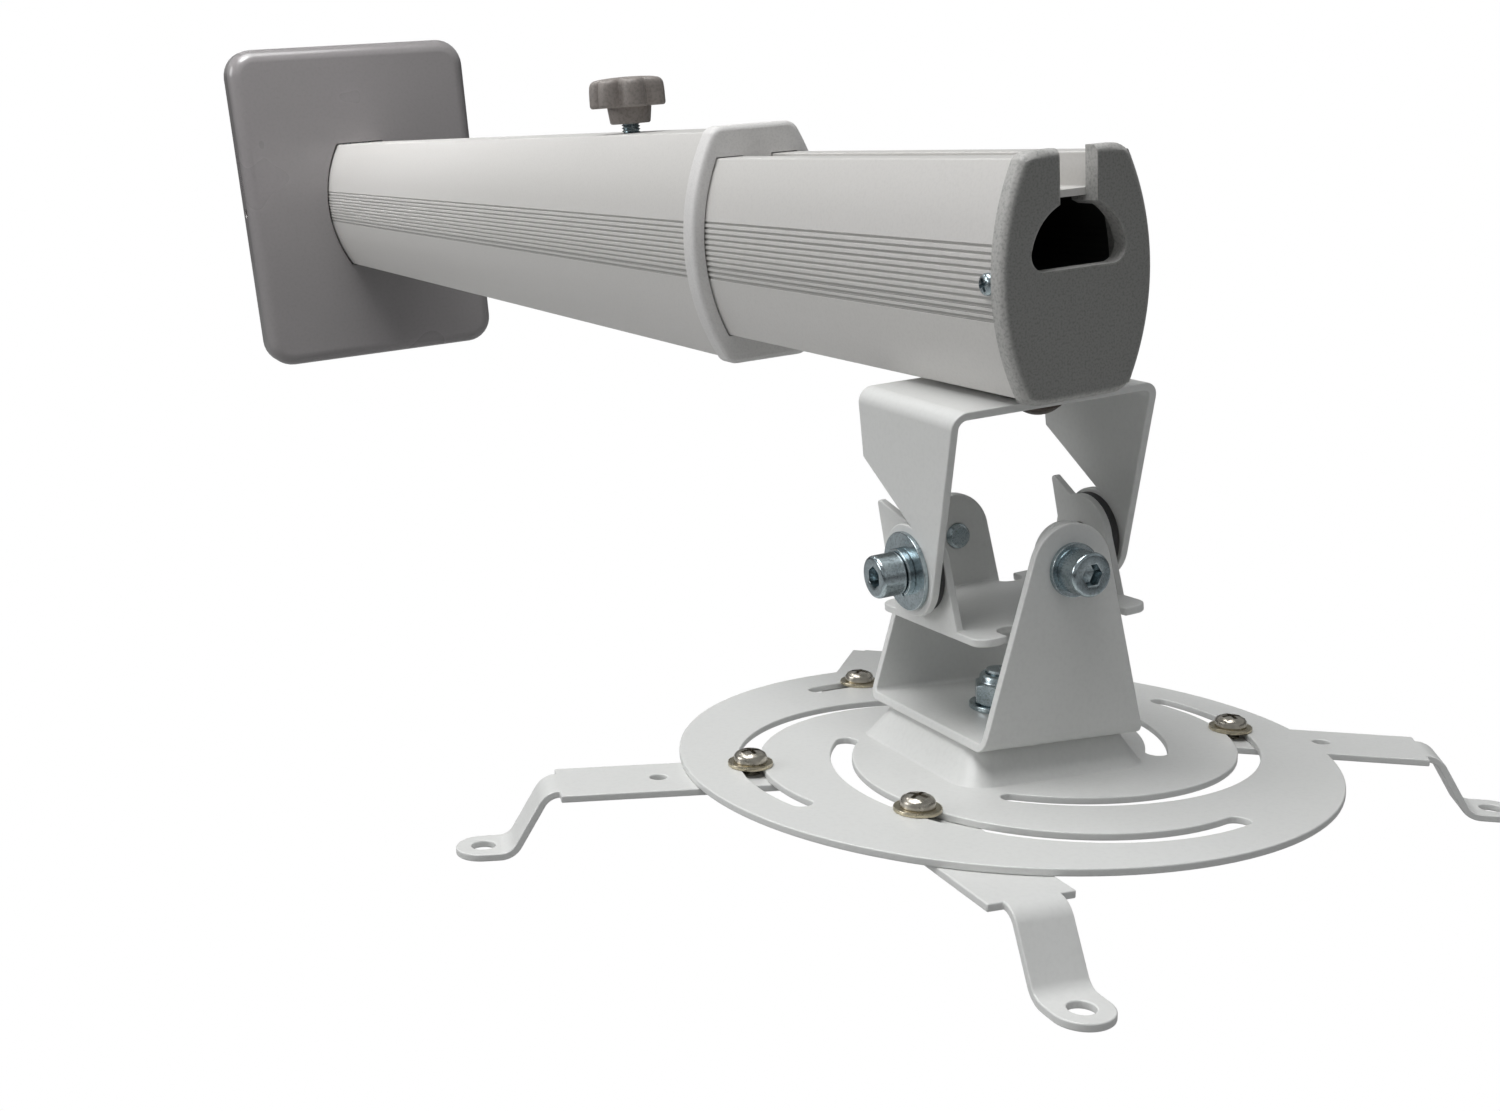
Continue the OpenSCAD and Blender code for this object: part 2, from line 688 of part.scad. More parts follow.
// Moulded end cap with a keyhole for the cables
module keyhole() {
    sill_x = sqrt(keyhole_r * keyhole_r - pow(keyhole_sill + keyhole_corner - keyhole_z, 2)) - keyhole_corner;
    intersection() {
        translate([0, keyhole_z]) circle(keyhole_r, $fn = 96);
        translate([-big / 2, keyhole_sill + keyhole_corner]) square([big, big]);
    }
    translate([-sill_x, keyhole_sill]) square([2 * sill_x, keyhole_corner + eps]);
    for (side = [-1, 1]) translate([side * sill_x, keyhole_sill + keyhole_corner]) circle(keyhole_corner, $fn = 48);
    translate([-channel_w / 2, keyhole_z]) square([channel_w, big / 2]);
}
module end_cap() {
    steps = 5;
    color(grey_cap) difference() {
        union() {
            for (i = [0:steps]) {
                a = 90 * i / steps;
                inset = cap_edge * (1 - cos(a));
                along(inner_front, inner_front + cap_t - cap_edge * (1 - sin(a)))
                    barrel(cap_w - inset, cap_flat - inset, cap_h - inset);
            }
            along(inner_front - plug_len, inner_front + eps) difference() {
                inner_hollow(plug_play);
                inner_hollow(plug_wall);
            }
        }
        along(inner_front - plug_len - 1, inner_front + cap_t + 1) keyhole();
        for (side = [-1, 1]) translate([side * inner_in_w - 4, -cap_screw_y, 0]) rod_x(tapping_d, 8);
    }
}
cap_screw_h = 1.4;
module cap_screws() {
    color(zinc) for (side = [-1, 1])
        translate([side * inner_half_w, -cap_screw_y, 0]) rotate([0, side * 90, 0])
            pan_screw(tapping_d, short_len - 1, short_len - 1, cap_screw_h);
}

// Swivel: bolt from below, friction washer, and a lock nut on a washer inside the inner tube
module swivel_bolt() {
    grip = sheet_t + swivel_washer_t + inner_wall + washer_t + bolt_d;
    color(dark) at_swivel() translate([0, 0, yoke_top - sheet_t]) rotate([180, 0, 0])
        pan_screw(bolt_d, grip + 1, button_d, button_h);
}
module swivel_washer() {
    color(dark) at_swivel() translate([0, 0, yoke_top]) washer(1.4 * washer_d, bolt_d + hole_play, swivel_washer_t);
}
module swivel_nut_washer() {
    color(zinc) at_swivel() translate([0, 0, -inner_in_h]) washer(washer_d, bolt_d + hole_play, washer_t);
}
module swivel_nut() {
    color(zinc) at_swivel() translate([0, 0, washer_t - inner_in_h]) lock_nut(1.625 * bolt_d, bolt_d, bolt_d);
}

// Upper yoke: a folded strip whose wings taper to the tilt bolts
wing_notch_angle = 100;
module wing_outline() {
    front = tangent([-yoke_fore, tilt_drop], yoke_tip_r, 1);
    rear_low = [yoke_aft - yoke_rear_in, tilt_drop - yoke_rear_edge];
    polygon([[-yoke_fore, tilt_drop], front, [0, 0], polar(yoke_tip_r, wing_notch_angle), rear_low,
        [yoke_aft, tilt_drop]]);
}
// Section of a U made of sheet: outer half width w, height h below z = 0, bends of radius r
module channel_section(w, h, r) {
    difference() {
        union() {
            translate([-w, -h]) square([2 * w, h - r]);
            translate([r - w, -r - eps]) square([2 * (w - r), r + eps]);
            for (side = [-1, 1]) translate([side * (w - r), -r]) circle(r, $fn = 48);
        }
        translate([sheet_t - w, -h - 1]) square([2 * (w - sheet_t), h - r + 1]);
        translate([r - w, -r - eps]) square([2 * (w - r), r - sheet_t + eps]);
        for (side = [-1, 1]) translate([side * (w - r), -r]) circle(r - sheet_t, $fn = 48);
    }
}
module upper_yoke() {
    reach = tilt_drop + 1.5 * yoke_tip_r;
    color(white) at_tilt() difference() {
        intersection() {
            translate([0, yoke_aft, tilt_drop]) rotate([90, 0, 0]) linear_extrude(yoke_fore + yoke_aft)
                channel_section(yoke_half_w, reach, bend_r);
            union() {
                translate([-big / 2, 0, 0]) rotate([90, 0, 90]) linear_extrude(big) wing_outline();
                translate([-big / 2, 0, 0]) rod_x(2 * (yoke_tip_r + eps), big);
            }
        }
        translate([0, -tilt_back, tilt_drop - 2 * sheet_t]) cylinder(r = bolt_d / 2 + run_gap, h = 4 * sheet_t);
        for (side = [-1, 1]) translate([side * yoke_half_w - 5, 0, 0]) rod_x(bolt_d + 2 * run_gap, 10);
    }
}

// Cross piece: pressed floor with four ears, the side ears carry a pointed horn each
horn_y = [24, 13];
horn_z = 16.2;
horn_r = 1.2;
horn_in = 1.5;
side_root = 0.58;
module side_ear_outline(i) {
    root = cross_half_l * side_root;
    horn_foot = [horn_y[i] - horn_in, 0];
    circle(cross_side_r);
    polygon([polar(cross_side_r, 175), [-root, cross_floor - sheet_t], [root, cross_floor - sheet_t],
        horn_foot, polar(cross_side_r, 45)]);
    hull() {
        translate([horn_y[i], horn_z]) circle(horn_r, $fn = 24);
        polygon([polar(cross_side_r, 70), horn_foot, polar(cross_side_r, 20)]);
    }
}
ear_centre = [0, 4];
module end_ear_outline() {
    corner = [cross_ear_root, cross_floor - sheet_t] - ear_centre;
    t = tangent(corner, cross_ear_r, 1) + ear_centre;
    polygon([[-corner[0], cross_floor - sheet_t], [-t[0], t[1]], t, [corner[0], cross_floor - sheet_t]]);
}
relief_in = 0.5;
module cross_piece() {
    color(white) at_cross() difference() {
        union() {
            translate([0, 0, cross_floor - sheet_t]) linear_extrude(sheet_t)
                rounded_rect(2 * cross_half_w, 2 * cross_half_l - sheet_t, cross_corner_r);
            for (i = [0, 1]) translate([(i == 0 ? -cross_half_w : cross_half_w - sheet_t), 0, 0])
                rotate([90, 0, 90]) linear_extrude(sheet_t) side_ear_outline(i);
            for (side = [0, 1]) translate([0, side == 0 ? -cross_half_l + sheet_t : cross_half_l, 0])
                rotate([90, 0, 0]) {
                    linear_extrude(sheet_t) end_ear_outline();
                    translate(ear_centre) cylinder(r = cross_ear_r + eps, h = sheet_t);
                }
        }
        for (side = [-1, 1]) {
            translate([side * cross_half_w - 5, 0, 0]) rod_x(bolt_d, 10);
            translate([0, side * cross_half_l - 5, 0]) rod_y(bolt_d, 10);
            for (x = [-1, 1]) translate([x * (cross_ear_root + relief_r - relief_in),
                side * (cross_half_l - relief_r - relief_in), cross_floor - 2 * sheet_t]) {
                cylinder(r = relief_r, h = 4 * sheet_t);
                translate([-relief_r, side > 0 ? 0 : -2 * relief_r, 0])
                    cube([2 * relief_r, 2 * relief_r, 4 * sheet_t]);
            }
        }
    }
}
module rounded_rect(w, l, r) {
    difference() {
        square([w, l], center = true);
        for (x = [-1, 1], y = [-1, 1]) translate([x * w / 2, y * l / 2]) difference() {
            square(2 * r, center = true);
            translate([-x * r, -y * r]) circle(r);
        }
    }
}

// Tilt and roll bolts screw into the cross piece; the yokes turn on their shanks
bolt_end = 1.2;
module tilt_bolt(side, stack) {
    at_cross() translate([side * (yoke_half_w + stack), 0, 0]) rotate([0, side * 90, 0])
        socket_bolt(bolt_d, socket_head_d, stack + sheet_t + spacer_t + sheet_t + bolt_end);
}
module tilt_bolt_left() { color(zinc) tilt_bolt(-1, washer_t + spring_t); }
module tilt_bolt_right() {
    color(dark) at_cross() translate([yoke_half_w, 0, 0]) rotate([0, 90, 0])
        pan_screw(bolt_d, sheet_t + spacer_t + sheet_t + bolt_end, button_d, tilt_head_h);
}
module spring_washer() {
    color(zinc) at_cross() translate([-yoke_half_w - washer_t, 0, 0]) rotate([0, -90, 0])
        washer(socket_head_d + 1.6, bolt_d + washer_play, spring_t);
}
module tilt_washer() {
    color(zinc) at_cross() translate([-yoke_half_w, 0, 0]) rotate([0, -90, 0])
        washer(big_washer_d, bolt_d + washer_play, washer_t);
}
module tilt_spacers() {
    color(dark) for (side = [-1, 1])
        at_cross() translate([side * cross_half_w, 0, 0]) rotate([0, side * 90, 0])
            washer(2 * cross_side_r, bolt_d + washer_play, spacer_t);
}
module roll_bolt(side) {
    at_cross() translate([0, side * (low_half_l + washer_t), 0]) rotate([-side * 90, 0, 0])
        socket_bolt(bolt_d, socket_head_d, washer_t + sheet_t + seat_gap + sheet_t + bolt_end);
}
module roll_bolt_front() { color(zinc) roll_bolt(-1); }
module roll_bolt_back() { color(zinc) roll_bolt(1); }
module roll_washers() {
    color(zinc) for (side = [-1, 1])
        at_cross() translate([0, side * low_half_l, 0]) rotate([-side * 90, 0, 0]) washer(washer_d, bolt_d + washer_play, washer_t);
}

// Lower yoke: its ears taper from a square base to the roll bolts
module low_ear_taper() {
    corner = [low_half_w, -low_drop];
    t = tangent(corner, low_ear_r, 1);
    polygon([[-corner[0], corner[1]], [-t[0], t[1]], t, corner]);
}
module lower_yoke() {
    color(white) at_roll() difference() {
        intersection() {
            translate([low_half_w, 0, -low_drop]) rotate([90, 0, -90]) mirror([0, 1])
                linear_extrude(2 * low_half_w) channel_section(low_half_l, low_drop + 1.5 * low_ear_r, low_bend_r);
            union() {
                translate([0, big / 2, 0]) rotate([90, 0, 0]) linear_extrude(big) low_ear_taper();
                translate([0, -big / 2, 0]) rod_y(2 * (low_ear_r + eps), big);
            }
        }
        for (side = [-1, 1]) translate([0, side * low_half_l - 5, 0]) rod_y(bolt_d + 2 * run_gap, 10);
        translate([0, 0, -low_drop - 1]) cylinder(d = disc_bolt_d + hole_play, h = sheet_t + 2);
    }
}

// Disc bolt: head inside the boss, lock nut on a washer on the yoke's base
disc_nut_h = 0.95 * disc_bolt_d;
disc_head_h = 0.6 * disc_bolt_d;
disc_nut_af = 1.6 * disc_bolt_d;
module disc_bolt() {
    color(zinc) at_roll() translate([0, 0, -low_drop - disc_t - 2 * film]) {
        translate([0, 0, -disc_head_h]) hex_head(disc_nut_af, disc_head_h);
        translate([0, 0, -eps]) cylinder(d = disc_bolt_d, h = disc_t + sheet_t + washer_t + disc_nut_h + bolt_end);
    }
}
module hex_head(af, h) { cylinder(r = af / sqrt(3), h = h, $fn = 6); }
module disc_washer() {
    color(zinc) at_roll() translate([0, 0, sheet_t - low_drop]) washer(2 * disc_bolt_d, disc_bolt_d + hole_play, washer_t);
}
module disc_nut() {
    color(zinc) at_roll() translate([0, 0, sheet_t - low_drop + washer_t])
        lock_nut(disc_nut_af, disc_bolt_d, disc_nut_h);
}

// Disc: pressed boss and four curved slots
module boss(top, foot, h, r) {
    hull() {
        translate([0, 0, -eps]) linear_extrude(eps) rounded_rect(2 * foot, 2 * foot, r * 1.5);
        translate([0, 0, h - eps]) linear_extrude(eps) rounded_rect(2 * top, 2 * top, r);
    }
}
module slot_cut() {
    translate([slot_centre[0], slot_centre[1], -1 - disc_t]) rotate([0, 0, slot_a0])
        rotate_extrude(angle = slot_a1 - slot_a0, $fn = 180)
            translate([slot_arc_r - slot_w / 2, 0]) square([slot_w, disc_t + 2]);
}
module slot_ends() {
    for (p = [slot_in, slot_out]) translate([p[0], p[1], -1 - disc_t]) cylinder(d = slot_w - 2 * eps, h = disc_t + 2);
}
module disc_plate() {
    wall_step = disc_t * 1.05;
    corner_r = 6;
    color(white) at_disc() difference() {
        difference() {
            union() {
                translate([0, 0, -disc_t]) cylinder(r = disc_r, h = disc_t, $fn = 180);
                boss(boss_top, boss_foot, boss_h, corner_r);
            }
            translate([0, 0, -disc_t]) boss(boss_top - wall_step, boss_foot - wall_step, boss_h, corner_r - 1);
            translate([0, 0, boss_h - 2 * disc_t]) cylinder(r = disc_bolt_d / 2 + run_gap, h = 4 * disc_t);
            for (i = [0:3]) rotate([0, 0, slot_turn[i]]) slot_cut();
        }
        for (i = [0:3]) rotate([0, 0, slot_turn[i]]) slot_ends();
    }
}

// Leg: wide flat part under the disc, stepped in, bent down and up again to a flat round foot
module leg_side() {
    a = leg_slope;
    r = leg_bend_r;
    u1 = leg_reach + r * sin(a) + leg_flank * cos(a);
    translate([-leg_back, -leg_t]) square([leg_back + leg_reach + eps, leg_t]);
    translate([leg_reach, -leg_t / 2 - r]) ring_sector(r, 90 - a, 90);
    translate([leg_reach + r * sin(a), -leg_t / 2 - r * (1 - cos(a))]) rotate(-a)
        translate([-eps, -leg_t / 2]) square([leg_flank + 2 * eps, leg_t]);
    translate([u1 + r * sin(a), -leg_t / 2 - leg_drop + r]) ring_sector(r, 270 - a, 270);
    translate([leg_reach + leg_bend_len - eps, -leg_t - leg_drop])
        square([leg_foot + leg_narrow - leg_reach - leg_bend_len, leg_t]);
}
module ring_sector(r, from, to) {
    difference() {
        circle(r + leg_t / 2, $fn = 96);
        circle(r - leg_t / 2, $fn = 96);
        rotate(to) translate([-big / 20, 0]) square([big / 10, big / 20]);
        rotate(from + 180) translate([-big / 20, 0]) square([big / 10, big / 20]);
    }
}
module leg_plan() {
    translate([-leg_back, -leg_w / 2]) square([leg_back + leg_reach, leg_w]);
    translate([0, -leg_narrow / 2]) square([leg_foot, leg_narrow]);
    translate([leg_foot, 0]) circle(leg_narrow / 2);
}
spare_d = leg_screw_d - 0.8;
module leg(i) {
    low = leg_t + leg_drop;
    color(white) at_leg(i) translate([0, 0, -film]) difference() {
        translate([0, 0, -disc_t]) intersection() {
            translate([0, leg_w / 2, 0]) rotate([90, 0, 0]) linear_extrude(leg_w) leg_side();
            translate([0, 0, -low - 1]) linear_extrude(low + 2) leg_plan();
        }
        translate([0, 0, -disc_t - leg_t - 1]) {
            cylinder(r = slot_gap_r, h = leg_t + 2);
            translate([spare_hole, 0, 0]) cylinder(d = spare_d, h = leg_t + 2);
        }
        translate([leg_foot, 0, -disc_t - low - 1]) cylinder(d = foot_hole_d, h = leg_t + 2);
    }
}
leg_washer_t = 1.2;
leg_head_h = 3.6;
leg_screw_end = 1.5;
module leg_screw(i) {
    color(yellow_zinc) at_leg(i) translate([0, 0, leg_washer_t + film])
        pan_screw(leg_screw_d, leg_washer_t + disc_t + leg_t + leg_screw_end, leg_head_d, leg_head_h);
}
module leg_washer(i) {
    color(yellow_zinc) at_leg(i) translate([0, 0, film])
        washer(leg_washer_d, leg_screw_d + washer_play, leg_washer_t);
}

wall_bracket();
wall_cover();
cover_screws();
tube_screws();
outer_tube();
collar();
collar_screws();
clamp_nut();
clamp_shoe();
clamp_knob();
clamp_stud();
inner_tube();
rear_guide();
guide_screws();
end_cap();
cap_screws();
swivel_bolt();
swivel_nut();
swivel_nut_washer();
swivel_washer();
upper_yoke();
cross_piece();
tilt_bolt_left();
tilt_bolt_right();
tilt_washer();
spring_washer();
tilt_spacers();
roll_bolt_front();
roll_bolt_back();
roll_washers();
lower_yoke();
disc_bolt();
disc_nut();
disc_washer();
disc_plate();
leg(0);  // leg_front
leg(1);  // leg_right
leg(2);  // leg_back_side
leg(3);  // leg_left
leg_screw(0);  // leg_screw_front
leg_screw(1);  // leg_screw_right
leg_screw(2);  // leg_screw_back
leg_screw(3);  // leg_screw_left
leg_washer(0);  // leg_washer_front
leg_washer(1);  // leg_washer_right
leg_washer(2);  // leg_washer_back
leg_washer(3);  // leg_washer_left
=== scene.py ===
# %% [markdown]
# # A telescopic projector arm
# The object is an arm that is screwed to a wall and carries a projector on four
# adjustable legs. Its solids come from a imported CAD model, which is the fixed frame of
# this lesson. We load it first and keep the size of its box. The dressed model has to
# stay inside that box.

# %% Load the frame
import json
import math

import bmesh
import bpy
from mathutils import Matrix, Vector


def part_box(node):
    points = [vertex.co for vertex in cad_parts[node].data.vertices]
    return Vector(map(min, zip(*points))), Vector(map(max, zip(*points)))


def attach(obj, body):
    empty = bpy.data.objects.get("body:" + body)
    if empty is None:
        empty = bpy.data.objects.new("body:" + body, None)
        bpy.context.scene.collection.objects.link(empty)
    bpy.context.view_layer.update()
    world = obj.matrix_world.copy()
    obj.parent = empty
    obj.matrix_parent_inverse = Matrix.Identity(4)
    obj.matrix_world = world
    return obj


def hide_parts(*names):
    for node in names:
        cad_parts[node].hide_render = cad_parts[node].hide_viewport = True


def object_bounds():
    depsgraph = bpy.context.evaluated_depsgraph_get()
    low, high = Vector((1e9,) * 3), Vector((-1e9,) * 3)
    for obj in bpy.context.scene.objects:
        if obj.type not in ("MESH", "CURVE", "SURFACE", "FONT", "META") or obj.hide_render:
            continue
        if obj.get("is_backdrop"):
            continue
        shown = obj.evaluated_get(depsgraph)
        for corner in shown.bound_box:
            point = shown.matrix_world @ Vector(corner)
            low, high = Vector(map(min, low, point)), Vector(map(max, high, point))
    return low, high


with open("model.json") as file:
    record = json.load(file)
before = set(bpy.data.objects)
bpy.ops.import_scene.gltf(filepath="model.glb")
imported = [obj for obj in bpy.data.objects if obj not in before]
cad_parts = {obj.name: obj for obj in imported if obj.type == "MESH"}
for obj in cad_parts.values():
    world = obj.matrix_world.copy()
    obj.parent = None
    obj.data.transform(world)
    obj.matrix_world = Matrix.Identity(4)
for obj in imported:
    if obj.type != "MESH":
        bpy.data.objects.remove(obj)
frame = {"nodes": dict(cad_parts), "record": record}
cad_box = [list(corner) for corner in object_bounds()]
bodies = frame["record"]["behaviour"]["bodies"]
body_of = {node: body for body, nodes in bodies.items() for node in nodes}
slot_of = {part["node"]: part["material_slot"] for part in frame["record"]["subparts"]}
MM = 0.001

# %% [markdown]
# ## The camera
# The photograph was taken from the left of the free end and a little above the arm. The
# place, the three turns and the lens below were solved from the edges of both tubes, the
# cover and the disc, so a piece in the right place also lands on the right pixel. The
# picture is slightly cropped, which is why the lens is shifted a little.

# %% Camera
CAMERA_PLACE = Vector((-271.4, -1147.7, 53.3)) * MM
RIGHT = Vector((0.896574, -0.436707, -0.073764))
DOWN = Vector((-0.179225, -0.205442, -0.962118))
AHEAD = Vector((0.405010, 0.875831, -0.262463))
FOCAL_PIXELS = 1535.0
FRAME_WIDTH, FRAME_HEIGHT = 1500, 1111
MIDDLE_OF_VIEW = (705.4, 519.0)
NEAREST = 0.01

camera_data = bpy.data.cameras.new("camera")
camera_data.lens = camera_data.sensor_width * FOCAL_PIXELS / FRAME_WIDTH
camera_data.shift_x = 0.5 - MIDDLE_OF_VIEW[0] / FRAME_WIDTH
camera_data.shift_y = (MIDDLE_OF_VIEW[1] - FRAME_HEIGHT / 2) / FRAME_WIDTH
camera_data.clip_start = NEAREST
camera = bpy.data.objects.new("camera", camera_data)
bpy.context.scene.collection.objects.link(camera)
turn = Matrix((RIGHT, -DOWN, -AHEAD)).transposed()
camera.matrix_world = Matrix.Translation(CAMERA_PLACE) @ turn.to_4x4()
bpy.context.scene.camera = camera
print("lens", round(camera_data.lens, 2), "mm")

# %% [markdown]
# ## Floor and light
# The object hangs in front of plain white. A wide pale floor lies well below it. The
# photograph is lit from above and from the left: upward faces are brightest, faces
# towards the left come next, and faces towards the viewer are a good deal darker. One
# large soft lamp above, one on the left and a weak one in front give the same order. A
# small one over the wall plate makes its top brighter than its foot, as it is there.
# The floor is pure white to the camera, as the background of the photograph is, but it
# throws back only some of the light, so that undersides stay as dark as they should.

# %% Stage and lamps
FLOOR_DROP, FLOOR_HALF = 0.42, 5.0
FLOOR_GREY, FLOOR_ROUGHNESS = 0.42, 0.9
# Each lamp: its place, the point it looks at, its width in metres and its power in watts.
LAMPS = {
    "lamp_above": ((-0.30, -0.60, 1.70), (0.0, -0.70, -0.10), 1.5, 31.5),
    "lamp_left": ((-2.3, 0.2, 0.9), (0.0, -0.60, -0.05), 1.2, 16.0),
    "lamp_wall": ((-0.16, -0.22, 0.42), (0.0, 0.0, 0.08), 0.2, 1.1),
    "lamp_front": ((0.2, -2.6, 0.2), (0.0, -0.60, -0.05), 1.4, 0.5),
}


def plain_material(name, colour, roughness):
    material = bpy.data.materials.new(name)
    material.use_nodes = True
    shader = material.node_tree.nodes["Principled BSDF"]
    shader.inputs["Base Color"].default_value = (*colour, 1)
    shader.inputs["Roughness"].default_value = roughness
    return material, shader


bm = bmesh.new()
bmesh.ops.create_grid(bm, x_segments=4, y_segments=4, size=FLOOR_HALF)
bmesh.ops.translate(bm, verts=bm.verts, vec=(0, 0, -FLOOR_DROP))
floor_mesh = bpy.data.meshes.new("floor")
bm.to_mesh(floor_mesh)
bm.free()
floor = bpy.data.objects.new("floor", floor_mesh)
bpy.context.scene.collection.objects.link(floor)
floor_material, floor_shader = plain_material("floor_white", (FLOOR_GREY,) * 3, FLOOR_ROUGHNESS)
floor_nodes = floor_material.node_tree.nodes
floor_links = floor_material.node_tree.links
floor_glow = floor_nodes.new("ShaderNodeEmission")
floor_glow.inputs["Strength"].default_value = 1.0
floor_path = floor_nodes.new("ShaderNodeLightPath")
floor_mix = floor_nodes.new("ShaderNodeMixShader")
floor_links.new(floor_path.outputs["Is Camera Ray"], floor_mix.inputs["Fac"])
floor_links.new(floor_shader.outputs[0], floor_mix.inputs[1])
floor_links.new(floor_glow.outputs[0], floor_mix.inputs[2])
floor_links.new(floor_mix.outputs[0], floor_nodes["Material Output"].inputs["Surface"])
floor_mesh.materials.append(floor_material)
floor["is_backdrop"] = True

for name, (place, target, size, power) in LAMPS.items():
    data = bpy.data.lights.new(name, "AREA")
    data.shape, data.size, data.energy = "DISK", size, power
    lamp = bpy.data.objects.new(name, data)
    lamp.location = place
    lamp.rotation_euler = (Vector(target) - Vector(place)).to_track_quat("-Z", "Y").to_euler()
    bpy.context.scene.collection.objects.link(lamp)
print("lamps", list(LAMPS))

# %% [markdown]
# The surroundings are white to the camera, as in the photograph, but only give a weak
# light to the object. Full white all round would wash out every shadow. The weak light is
# banded by height, dark at the horizon and brighter above it, because plated steel shows
# little of its own and needs something uneven to mirror.

# %% World
# Each band: its height from -1, straight down, to 1, straight up, and how bright it is.
AIR_LIGHT = ((-0.4, 0.10), (0.05, 0.04), (0.35, 0.42), (1.0, 0.16))
AIR_TINT = (0.97, 0.99, 1.0)
world = bpy.data.worlds.new("white_room")
bpy.context.scene.world = world
world.use_nodes = True
tree = world.node_tree
tree.nodes.clear()
seen = tree.nodes.new("ShaderNodeBackground")
seen.inputs["Strength"].default_value = 1.0
seen.inputs["Color"].default_value = (1, 1, 1, 1)
given = tree.nodes.new("ShaderNodeBackground")
given.inputs["Strength"].default_value = 1.0
direction = tree.nodes.new("ShaderNodeTexCoord")
upward = tree.nodes.new("ShaderNodeSeparateXYZ")
height = tree.nodes.new("ShaderNodeMapRange")
height.inputs["From Min"].default_value = -1.0
bands = tree.nodes.new("ShaderNodeValToRGB")
while len(bands.color_ramp.elements) < len(AIR_LIGHT):
    bands.color_ramp.elements.new(0.5)
for stop, (level, light) in zip(bands.color_ramp.elements, AIR_LIGHT):
    stop.position = (level + 1) / 2
    stop.color = (*(light * share for share in AIR_TINT), 1)
tree.links.new(direction.outputs["Generated"], upward.inputs[0])
tree.links.new(upward.outputs["Z"], height.inputs["Value"])
tree.links.new(height.outputs["Result"], bands.inputs["Fac"])
tree.links.new(bands.outputs["Color"], given.inputs["Color"])
chooser = tree.nodes.new("ShaderNodeMixShader")
path = tree.nodes.new("ShaderNodeLightPath")
output = tree.nodes.new("ShaderNodeOutputWorld")
tree.links.new(path.outputs["Is Camera Ray"], chooser.inputs["Fac"])
tree.links.new(given.outputs[0], chooser.inputs[1])
tree.links.new(seen.outputs[0], chooser.inputs[2])
tree.links.new(chooser.outputs[0], output.inputs["Surface"])
bpy.context.scene.view_settings.view_transform = "Standard"
print("world ready")

# %% [markdown]
# ## Shared surface effects
# Powder coat, moulded plastic and plated steel all carry the same three effects in
# different strengths: a fine grain, slow cloudy changes of tone, and edges painted a
# little brighter, partly as rubbed wear and partly as a painted highlight. Each effect is
# one node group, so every finish can place it with its own values. All patterns read
# object coordinates, in metres.


# %% A helper for node groups
def new_group(name, inputs, outputs):
    group = bpy.data.node_groups.new(name, "ShaderNodeTree")
    number = "NodeSocketFloat"
    for socket, default in inputs.items():
        made = group.interface.new_socket(name=socket, in_out="INPUT", socket_type=number)
        made.default_value = default
    for socket in outputs:
        group.interface.new_socket(name=socket, in_out="OUTPUT", socket_type=number)
    return group, group.nodes.new("NodeGroupInput"), group.nodes.new("NodeGroupOutput")


def ramp(tree, source, low, high, out_low=0.0, out_high=1.0):
    """Maps a value from low..high to out_low..out_high, and keeps it in that range."""
    node = tree.nodes.new("ShaderNodeMapRange")
    node.clamp = True
    tree.links.new(source, node.inputs["Value"])
    ends = {"From Min": low, "From Max": high, "To Min": out_low, "To Max": out_high}
    for socket, value in ends.items():
        if isinstance(value, (int, float)):
            node.inputs[socket].default_value = value
        else:
            tree.links.new(value, node.inputs[socket])
    return node.outputs["Result"]


print("group helper ready")

# %% [markdown]
# The grain is a fine noise with a second, coarser one in it, as in the orange peel of
# powder coat and the spark-eroded skin of moulded plastic. Height feeds a bump, and
# Speck darkens single grains.

# %% Grain group
COARSE_SCALE = 0.31
SPECK_FROM, SPECK_TO = 0.46, 0.66
gt, grain_in, grain_out = new_group(
    "fine_grain", {"Size": 900.0, "Coarse share": 0.35}, ("Height", "Speck"))
place = gt.nodes.new("ShaderNodeTexCoord")
fine = gt.nodes.new("ShaderNodeTexNoise")
fine.inputs["Detail"].default_value = 3.0
coarse = gt.nodes.new("ShaderNodeTexNoise")
coarse.inputs["Detail"].default_value = 1.0
coarser = gt.nodes.new("ShaderNodeMath")
coarser.operation = "MULTIPLY"
coarser.inputs[1].default_value = COARSE_SCALE
gt.links.new(grain_in.outputs["Size"], fine.inputs["Scale"])
gt.links.new(grain_in.outputs["Size"], coarser.inputs[0])
gt.links.new(coarser.outputs[0], coarse.inputs["Scale"])
blend = gt.nodes.new("ShaderNodeMix")
gt.links.new(grain_in.outputs["Coarse share"], blend.inputs["Factor"])
for noise, socket in ((fine, "A"), (coarse, "B")):
    gt.links.new(place.outputs["Object"], noise.inputs["Vector"])
    gt.links.new(noise.outputs["Fac"], blend.inputs[socket])
gt.links.new(blend.outputs["Result"], grain_out.inputs["Height"])
specks = ramp(gt, fine.outputs["Fac"], SPECK_FROM, SPECK_TO)
gt.links.new(specks, grain_out.inputs["Speck"])
print("fine_grain group")

# %% [markdown]
# Cloudiness is a large soft noise: handling marks, uneven film thickness and the light
# dust that settles on a painted part. Long stretches it along the arm for extruded tubes,
# where the draw of the die leaves faint lengthwise streaks.

